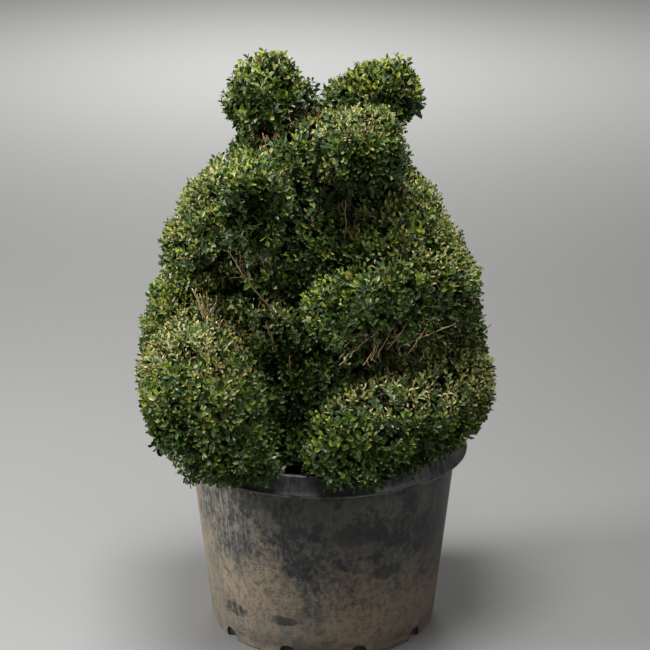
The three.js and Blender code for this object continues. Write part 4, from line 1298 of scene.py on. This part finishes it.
    def twigs(self, stem):
        """Blocks of tubes from the mass's stem out to the shoots, each finer than the last."""
        random, feet = self.random, self.feet
        hub = self.lobe.hub
        (near_spacing, near_back), (far_spacing, far_back) = FORKS
        clusters = feet[thinned(feet, near_spacing)]
        clusters = clusters + (hub - clusters) * near_back
        boughlets = clusters[thinned(clusters, far_spacing)]
        boughlets = boughlets + (hub - boughlets) * far_back
        alive = self.alive
        ends = self.tips - self.axis * np.where(self.bare, *SHOOT_ENDS)[:, None]
        spans = [
            (np.repeat(hub[None], len(boughlets), 0), boughlets),
            (boughlets[nearest(clusters, boughlets)], clusters),
            (clusters[nearest(feet[alive], clusters)], feet[alive]),
            (feet[alive], ends[alive]),
        ]
        blocks = [(0, self.stem_block(stem))]
        for number, ((starts, ends), level) in enumerate(zip(spans, TWIGS)):
            first, last, sides, segments, sag = level
            bends = (starts + ends) / 2 + sag * random.normal(size=starts.shape) / 1.7
            lines = curves(starts, bends, ends, segments, 0.1 * sag, random)
            blocks.append((int(number > 1), tubes(lines, first, last, sides)))
        for shown in SHOWN.get(self.lobe.name, ()):
            blocks += self.shown_blocks(*shown)
        return blocks

    def shown_blocks(self, foot, bend, tip, radii):
        """A bare stem with a few forks, as old wood shows in a hollow."""
        random = self.random
        foot, bend, tip = (np.array([point]) for point in (foot, bend, tip))
        line = curves(foot, bend, tip, 9, 0.0010, random)
        length = np.linalg.norm(tip - foot)
        ahead = unit(tip - foot)
        places = random.uniform(0.15, 0.9, 4)
        starts = line[0, np.rint(places * 9).astype(int)]
        ways = unit(ahead + 0.75 * unit(random.normal(size=starts.shape)) + [0, -0.25, 0])
        ends = starts + ways * length * random.uniform(0.12, 0.32, (4, 1))
        bends = (starts + ends) / 2 + 0.004 * random.normal(size=starts.shape)
        forks = curves(starts, bends, ends, 4, 0.0007, random)
        kind = 2 * int(random.random() < 0.6)
        return [
            (kind, tubes(line, radii[0], radii[1], 6)),
            (kind, tubes(forks, 0.6 * radii[1], 0.0004, 4)),
        ]

    def stem_block(self, stem):
        """The stem from where its limb's bark ends to the hub of the twigs."""
        t = np.array([stem.end, (stem.end + 1) / 2, 1.0])
        start, middle, end = stem.point(t)
        bend = 2 * middle - (start + end) / 2
        radii = stem.radius(t)
        return tubes(curves(start[None], bend[None], end[None], 8), radii[0], radii[2], 10)


def nearest(points, choices):
    """For each point the number of the nearest of the choices."""
    tree = KDTree(len(choices))
    for number, choice in enumerate(choices):
        tree.insert(choice, number)
    tree.balance()
    return np.array([tree.find(point)[1] for point in points])


LEAF_QUADS = np.array([[0, 1, 2, 3], [0, 3, 4, 5]])


def leaf_piece(shoots, materials):
    """All the leaves of one mass in one mesh, sorted by their kind."""
    blades, kinds = shoots.leaves()
    order = np.argsort(kinds, kind="stable")
    blades, kinds = blades[order], kinds[order]
    faces = (np.arange(len(blades))[:, None, None] * 6 + LEAF_QUADS).reshape(-1, 4)
    return add_piece(
        f"leaves_{shoots.lobe.name}", blades.reshape(-1, 3), [faces], materials, [np.repeat(kinds, 2)])


def twig_piece(shoots, stem, materials):
    """All the twigs of one mass in one mesh."""
    points, faces, kinds = [], [], []
    offset = 0
    for kind, (block, walls, caps) in shoots.twigs(stem):
        points.append(block)
        faces += [walls + offset, caps + offset]
        kinds += [np.full(len(walls), kind), np.full(len(caps), kind)]
        offset += len(block)
    return add_piece(
        f"twigs_{shoots.lobe.name}", np.concatenate(points), faces, materials, kinds, smooth=True)


# Geometry node trees

def new_tree(name, inputs):
    """A geometry node tree with an input geometry and named inputs: (tree, graph, group input)."""
    tree = bpy.data.node_groups.new(name, "GeometryNodeTree")
    tree.interface.new_socket("Geometry", in_out="INPUT", socket_type="NodeSocketGeometry")
    for label, kind in inputs:
        tree.interface.new_socket(label, in_out="INPUT", socket_type=kind)
    tree.interface.new_socket("Geometry", in_out="OUTPUT", socket_type="NodeSocketGeometry")
    graph = Graph(tree)
    source = tree.nodes.new("NodeGroupInput")
    wires = {socket.name: Wire(graph, socket) for socket in source.outputs if socket.name}
    return tree, graph, wires


def end_tree(graph, geometry, material):
    """Every tree ends in Realize Instances and Set Material."""
    real = graph.add("GeometryNodeRealizeInstances", None, geometry)
    dressed = graph.add("GeometryNodeSetMaterial", None, real, material=material)
    sink = graph.tree.nodes.new("NodeGroupOutput")
    graph.tree.links.new(dressed.socket, sink.inputs[0])


def run_tree(piece, tree, values):
    """The piece with a tree's result applied as a plain mesh."""
    modifier = piece.modifiers.new(tree.name, "NODES")
    modifier.node_group = tree
    sockets = {item.name: item.identifier for item in tree.interface.items_tree if item.in_out == "INPUT"}
    for label, value in values.items():
        modifier[sockets[label]] = value
    mesh = baked_mesh(piece.name, piece)
    piece.modifiers.remove(modifier)
    piece.data = mesh
    return piece


def ring_tree():
    """Copies of the input geometry turned round Z, evenly spaced."""
    tree, graph, given = new_tree(
        "ring_of_copies", [("Count", "NodeSocketInt"), ("Material", "NodeSocketMaterial")])
    points = graph.add("GeometryNodePoints", None, given["Count"])
    index = graph.add("GeometryNodeInputIndex")
    angle = (index + 0.5) * (2 * math.pi) / given["Count"]
    turn = graph.add("ShaderNodeCombineXYZ", None, 0.0, 0.0, angle)
    copies = graph.add(
        "GeometryNodeInstanceOnPoints", None, points, instance=given["Geometry"], rotation=turn)
    end_tree(graph, copies, given["Material"])
    return tree


def scatter_tree():
    """Copies of one object strewn over the faces of the input that lie inside a band of heights."""
    tree, graph, given = new_tree("strewn_copies", [
        ("Density", "NodeSocketFloat"), ("Seed", "NodeSocketInt"), ("Lowest", "NodeSocketFloat"),
        ("Highest", "NodeSocketFloat"), ("Copy", "NodeSocketObject"), ("Smallest", "NodeSocketFloat"),
        ("Tumble", "NodeSocketFloat"), ("Material", "NodeSocketMaterial")])
    height = graph.axes(graph.add("GeometryNodeInputPosition"))[2]
    high = height.math("GREATER_THAN", height, given["Lowest"])
    low = height.math("LESS_THAN", height, given["Highest"])
    spread = graph.add(
        "GeometryNodeDistributePointsOnFaces", None, given["Geometry"],
        selection=high * low, density=given["Density"], seed=given["Seed"])
    facing = Wire(graph, spread.socket.node.outputs["Rotation"])
    copy = graph.tree.nodes.new("GeometryNodeObjectInfo")
    graph.tree.links.new(given["Copy"].socket, copy.inputs["Object"])
    tumble = given["Tumble"]
    low_turn = graph.add("ShaderNodeCombineXYZ", None, 0.0 - tumble, 0.0 - tumble, -math.pi)
    high_turn = graph.add("ShaderNodeCombineXYZ", None, tumble, tumble, math.pi)
    any_turn = random_value(graph, "FLOAT_VECTOR", low_turn, high_turn)
    turned = graph.add("FunctionNodeRotateRotation", {"rotation_space": "LOCAL"}, facing, any_turn)
    size = random_value(graph, "FLOAT", given["Smallest"], 1.0)
    copies = graph.add(
        "GeometryNodeInstanceOnPoints", None, spread, instance=Wire(graph, copy.outputs["Geometry"]),
        rotation=turned, scale=size)
    end_tree(graph, copies, given["Material"])
    return tree


def random_value(graph, kind, least, most):
    """A Random Value node's output of a kind."""
    node = graph.tree.nodes.new("FunctionNodeRandomValue")
    node.data_type = kind
    sockets = [socket for socket in node.inputs if socket.enabled and socket.name in ("Min", "Max")]
    for socket, value in zip(sockets, (least, most)):
        graph.feed(socket, value)
    return Wire(graph, next(socket for socket in node.outputs if socket.enabled))


# Operators

class TOPIARY_OT_pot(bpy.types.Operator):
    """Turn the nursery pot with its hanging lip and cut its drainage notches"""

    bl_idname = "topiary.pot"
    bl_label = "Pot"

    def profile(self, pot):
        """Radius and height, from the middle of the underside over the lip to the floor inside."""
        neck = POT_HEIGHT - pot.lip_drop
        rise = (pot.neck_radius - pot.foot_radius) / neck

        def outer(z):
            return pot.foot_radius + rise * z

        step, step_height = 0.0014, 0.027
        foot = [(0.0, 0.0)]
        foot += [(outer(0) - inset, z) for inset, z in ((0.009, 0.0), (0.004, 0.0012), (0.0018, 0.0042))]
        wall = [(outer(z) - step, z) for z in (0.009, 0.018, step_height - 0.001)]
        wall += [(outer(z), z) for z in np.linspace(step_height + 0.001, neck, 14)]
        under = POT_HEIGHT - 0.013
        skirt = [
            (outer(under) - 0.0005, under - 0.004),
            (outer(under) + 0.0025, under),
            (LIP_RADIUS - 0.0185, under - 0.002),
            (LIP_RADIUS - 0.0060, neck + 0.004),
            (LIP_RADIUS - 0.0042, neck + 0.0006),
            (LIP_RADIUS - 0.0022, neck),
            (LIP_RADIUS - 0.0004, neck + 0.0012),
            (LIP_RADIUS, neck + 0.0034),
            (LIP_RADIUS - 0.0012, neck + 0.0058),
            (LIP_RADIUS - 0.0034, neck + 0.0080),
        ]
        lean = np.linspace(0, 1, 6)[1:]
        skirt += [(LIP_RADIUS - 0.0034 - 0.0088 * t ** 0.8, neck + 0.008 + 0.0285 * t) for t in lean]
        bend = np.linspace(0, math.pi / 2, 6)[1:]
        top = [
            (LIP_RADIUS - 0.0122 - 0.0055 * (1 - math.cos(a)), POT_HEIGHT - 0.0085 + 0.0085 * math.sin(a))
            for a in bend]
        inner = outer(POT_HEIGHT) - pot.wall
        inside = [(inner + 0.004, POT_HEIGHT - 0.0006), (inner + 0.001, POT_HEIGHT - 0.004)]
        inside += [(outer(z) - pot.wall, z) for z in np.linspace(POT_HEIGHT - 0.010, pot.floor, 10)]
        return [*foot, *wall, *skirt, *top, *inside, (0.0, pot.floor)]

    def notch(self, pot):
        """One arched cutter that stands across the foot of the wall, on the -Y side."""
        shape = bmesh.new()
        half = pot.notch_width / 2
        arch = [(half * math.cos(a), pot.notch_height - half + half * math.sin(a))
                for a in np.linspace(0, math.pi, 9)]
        outline = [(half, -0.001), *arch, (-half, -0.001)]
        front = [shape.verts.new((x, -pot.foot_radius - 0.010, z)) for x, z in outline]
        face = shape.faces.new(front)
        grown = bmesh.ops.extrude_face_region(shape, geom=[face])["geom"]
        moved = [item for item in grown if isinstance(item, bmesh.types.BMVert)]
        bmesh.ops.translate(shape, verts=moved, vec=(0, 0.046, 0))
        bmesh.ops.recalc_face_normals(shape, faces=shape.faces)
        mesh = bpy.data.meshes.new("notch")
        shape.to_mesh(mesh)
        shape.free()
        return add_mesh("notch", mesh)

    def execute(self, context):
        pot = context.scene.topiary_pot
        material = plastic_finish(pot)
        piece = lathe("nursery_pot", self.profile(pot), 144)
        piece.data.materials.append(material)
        cutter = run_tree(self.notch(pot), ring_tree(), {"Count": pot.notches, "Material": material})
        cut = piece.modifiers.new("notches", "BOOLEAN")
        cut.operation = "DIFFERENCE"
        cut.object = cutter
        cut.solver = "EXACT"
        mesh = baked_mesh("nursery_pot", piece)
        piece.modifiers.remove(cut)
        piece.data = mesh
        bpy.data.objects.remove(cutter)
        sharpen(mesh, math.radians(38))
        settle(piece, "pot_plastic", "pot")
        return {"FINISHED"}


# The soil: how far it rises to its middle, its gap to the pot's wall and the height of its crumbs
SOIL = {"rise": 0.007, "gap": 0.0006, "crumbs": 0.0035}

# Fallen leaves on the soil: how many of each kind to a square metre
LITTER = {"straw": 1500.0, "rust": 2100.0, "deep": 500.0}


class TOPIARY_OT_soil(bpy.types.Operator):
    """Fill the pot with crumbly soil and strew it with fallen leaves"""

    bl_idname = "topiary.soil"
    bl_label = "Soil and Litter"

    def execute(self, context):
        pot = context.scene.topiary_pot
        foot = SOIL_LOW.z
        slope = (SOIL_RADIUS - (pot.foot_radius - pot.wall)) / (SOIL_LEVEL - foot)
        rim = SOIL_LEVEL - SOIL["rise"]
        side = [(SOIL_RADIUS - slope * (rim - z) - SOIL["gap"], z) for z in np.linspace(foot, rim, 12)]
        shares = 1 - np.linspace(0, 1, 40)[1:-1]
        level = [(side[-1][0] * share, SOIL_LEVEL - SOIL["rise"] * share) for share in shares]
        piece = lathe("soil_bed", [(0.0, foot), *side, *level, (0.0, SOIL_LEVEL)], 150)
        mesh = piece.data
        points = np.empty(len(mesh.vertices) * 3)
        mesh.vertices.foreach_get("co", points)
        points = points.reshape(-1, 3)
        crumbs = 0.55 * patchiness(points, 0.016, 5) + 0.45 * patchiness(points, 0.045, 6) - 1.1
        top = points[:, 2] > rim - 0.001
        points[:, 2] += np.where(top, SOIL["crumbs"] * crumbs, 0)
        mesh.vertices.foreach_set("co", points.reshape(-1))
        mesh.materials.append(soil_finish())
        mesh.polygons.foreach_set("use_smooth", np.ones(len(mesh.polygons), dtype=bool))
        settle(piece, "potting_soil", "soil")
        self.strew(context, piece)
        return {"FINISHED"}

    def strew(self, context, soil):
        """Fallen leaves in three colours lie on the soil."""
        tree = scatter_tree()
        length = context.scene.topiary_foliage.leaf_length
        half = length * context.scene.topiary_foliage.leaf_width / 2
        points = np.array([
            (0, 0, 0.0008),
            (0.34 * length, 0.9 * half, 0.0024),
            (0.74 * length, 0.86 * half, 0.002),
            (length, 0, 0.0006),
            (0.74 * length, -0.86 * half, 0.002),
            (0.34 * length, -0.9 * half, 0.0024),
        ])
        leaf = add_piece("fallen_leaf", points, [LEAF_QUADS], [])
        for seed, (name, density) in enumerate(LITTER.items()):
            colour, roughness, shine = LEAF_KINDS[name]
            ground = add_mesh(f"litter_{name}", soil.data)
            litter = run_tree(ground, tree, {
                "Density": density, "Seed": seed, "Lowest": SOIL_LEVEL - 2 * SOIL["rise"], "Highest": 1.0,
                "Copy": leaf, "Smallest": 0.6, "Tumble": 0.3,
                "Material": leaf_finish(f"fallen_{name}", colour, roughness + 0.15, shine)})
            settle(litter, "foliage")
        bpy.data.objects.remove(leaf)


class TOPIARY_OT_limbs(bpy.types.Operator):
    """Clothe the trunk and the boughs in bark"""

    bl_idname = "topiary.limbs"
    bl_label = "Trunk and Boughs"

    def execute(self, context):
        wood = context.scene.topiary_wood
        material = bark_finish(wood)
        limbs, _ = make_limbs([Lobe(number, name) for number, name in enumerate(MASSES)])
        for limb in limbs.values():
            settle(bark_piece(limb, wood.relief, material), "bark", limb.name)
        return {"FINISHED"}


class TOPIARY_OT_foliage(bpy.types.Operator):
    """Grow the twigs and leaves of every mass from its limb"""

    bl_idname = "topiary.foliage"
    bl_label = "Twigs and Leaves"

    def execute(self, context):
        foliage, wood = context.scene.topiary_foliage, context.scene.topiary_wood
        greens = [leaf_finish(f"leaf_{name}", *LEAF_KINDS[name]) for name in KINDS]
        browns = [
            leaf_finish("twig_inner", tuple(wood.twig), 0.85, 0.3),
            leaf_finish("twig_outer", tuple(wood.shoot), 0.75, 0.3),
            leaf_finish("bare_stem", tuple(wood.stem), 0.80, 0.3),
        ]
        lobes = [Lobe(number, name) for number, name in enumerate(MASSES)]
        _, stems = make_limbs(lobes)
        for number in range(len(lobes)):
            shoots = Shoots(number, lobes, foliage)
            leaves = leaf_piece(shoots, greens)
            twigs = twig_piece(shoots, stems[shoots.lobe.name], browns)
            settle(twigs, "bark", f"mass_{shoots.lobe.name}")
            settle(leaves, "foliage", f"mass_{shoots.lobe.name}")
        return {"FINISHED"}


# Soft lamps: place, the point that they light, size and watts
LAMPS = {
    "key": ((-3.7, -0.7, 2.4), (0, 0, 0.7), (1.2, 1.2), 300),
    "top": ((-0.15, -0.7, 4.2), (0, 0, 0.8), (1.5, 1.5), 245),
    "side": ((3.2, -2.0, 3.0), (0, 0, 0.7), (1.8, 1.8), 60),
    "backdrop": ((0, 6.8, 4.0), (0, 7.8, 0), (2.2, 1.8), 560),
}
FLOOR_REACH = 40.0
SKY = {"colour": (0.83, 0.83, 0.82, 1.0), "strength": 0.21}


class TOPIARY_OT_stage(bpy.types.Operator):
    """Set the floor, the soft lights and the camera"""

    bl_idname = "topiary.stage"
    bl_label = "Stage"

    def lamp(self, name, place, aim, size, watts):
        """An area lamp at a place, turned to the point that it lights."""
        data = bpy.data.lights.new(name, "AREA")
        data.shape = "RECTANGLE"
        data.size, data.size_y = size
        data.energy = watts
        lamp = bpy.data.objects.new(name, data)
        lamp.location = place
        lamp.rotation_euler = (Vector(aim) - Vector(place)).to_track_quat("-Z", "Y").to_euler()
        bpy.context.scene.collection.objects.link(lamp)

    def execute(self, context):
        stage = context.scene.topiary_stage
        corners = FLOOR_REACH * np.array([(-1, -1, 0), (1, -1, 0), (1, 1, 0), (-1, 1, 0)])
        floor = add_piece("floor", corners, [np.array([[0, 1, 2, 3]])], [floor_finish(stage)])
        world = bpy.data.worlds.new("studio")
        world.use_nodes = True
        background = world.node_tree.nodes["Background"]
        background.inputs["Color"].default_value = SKY["colour"]
        background.inputs["Strength"].default_value = SKY["strength"]
        context.scene.world = world
        for name, settings in LAMPS.items():
            self.lamp(name, *settings)
        data = bpy.data.cameras.new("camera")
        data.lens = stage.lens
        data.shift_x = stage.shift
        camera = bpy.data.objects.new("camera", data)
        camera.location = (0, -stage.distance, stage.eye_height)
        camera.rotation_euler = (math.pi / 2 - stage.pitch, 0, 0)
        context.scene.collection.objects.link(camera)
        context.scene.camera = camera
        context.scene.view_settings.view_transform = "Standard"
        return {"FINISHED"}


class TOPIARY_PT_panel(bpy.types.Panel):
    """The steps that make the topiary, and its sizes"""

    bl_label = "Topiary"
    bl_idname = "TOPIARY_PT_panel"
    bl_space_type = "VIEW_3D"
    bl_region_type = "UI"
    bl_category = "Topiary"

    def draw(self, context):
        for group, operator in STEPS:
            box = self.layout.box()
            box.operator(operator.bl_idname)
            if group:
                settings = getattr(context.scene, group)
                for name in settings.bl_rna.properties.keys():
                    if name not in ("name", "rna_type"):
                        box.prop(settings, name)


STEPS = [
    ("topiary_stage", TOPIARY_OT_stage),
    ("topiary_pot", TOPIARY_OT_pot),
    ("", TOPIARY_OT_soil),
    ("topiary_wood", TOPIARY_OT_limbs),
    ("topiary_foliage", TOPIARY_OT_foliage),
]
GROUPS = {
    "topiary_pot": TopiaryPot,
    "topiary_wood": TopiaryWood,
    "topiary_foliage": TopiaryFoliage,
    "topiary_stage": TopiaryStage,
}
CLASSES = [*GROUPS.values(), *(operator for _, operator in STEPS), TOPIARY_PT_panel]


def register():
    for item in CLASSES:
        bpy.utils.register_class(item)
    for name, group in GROUPS.items():
        setattr(bpy.types.Scene, name, PointerProperty(type=group))


def unregister():
    for name in GROUPS:
        delattr(bpy.types.Scene, name)
    for item in reversed(CLASSES):
        bpy.utils.unregister_class(item)


def main():
    register()
    bpy.ops.topiary.stage()
    bpy.ops.topiary.pot()
    bpy.ops.topiary.soil()
    bpy.ops.topiary.limbs()
    bpy.ops.topiary.foliage()


if __name__ == "__main__":
    main()
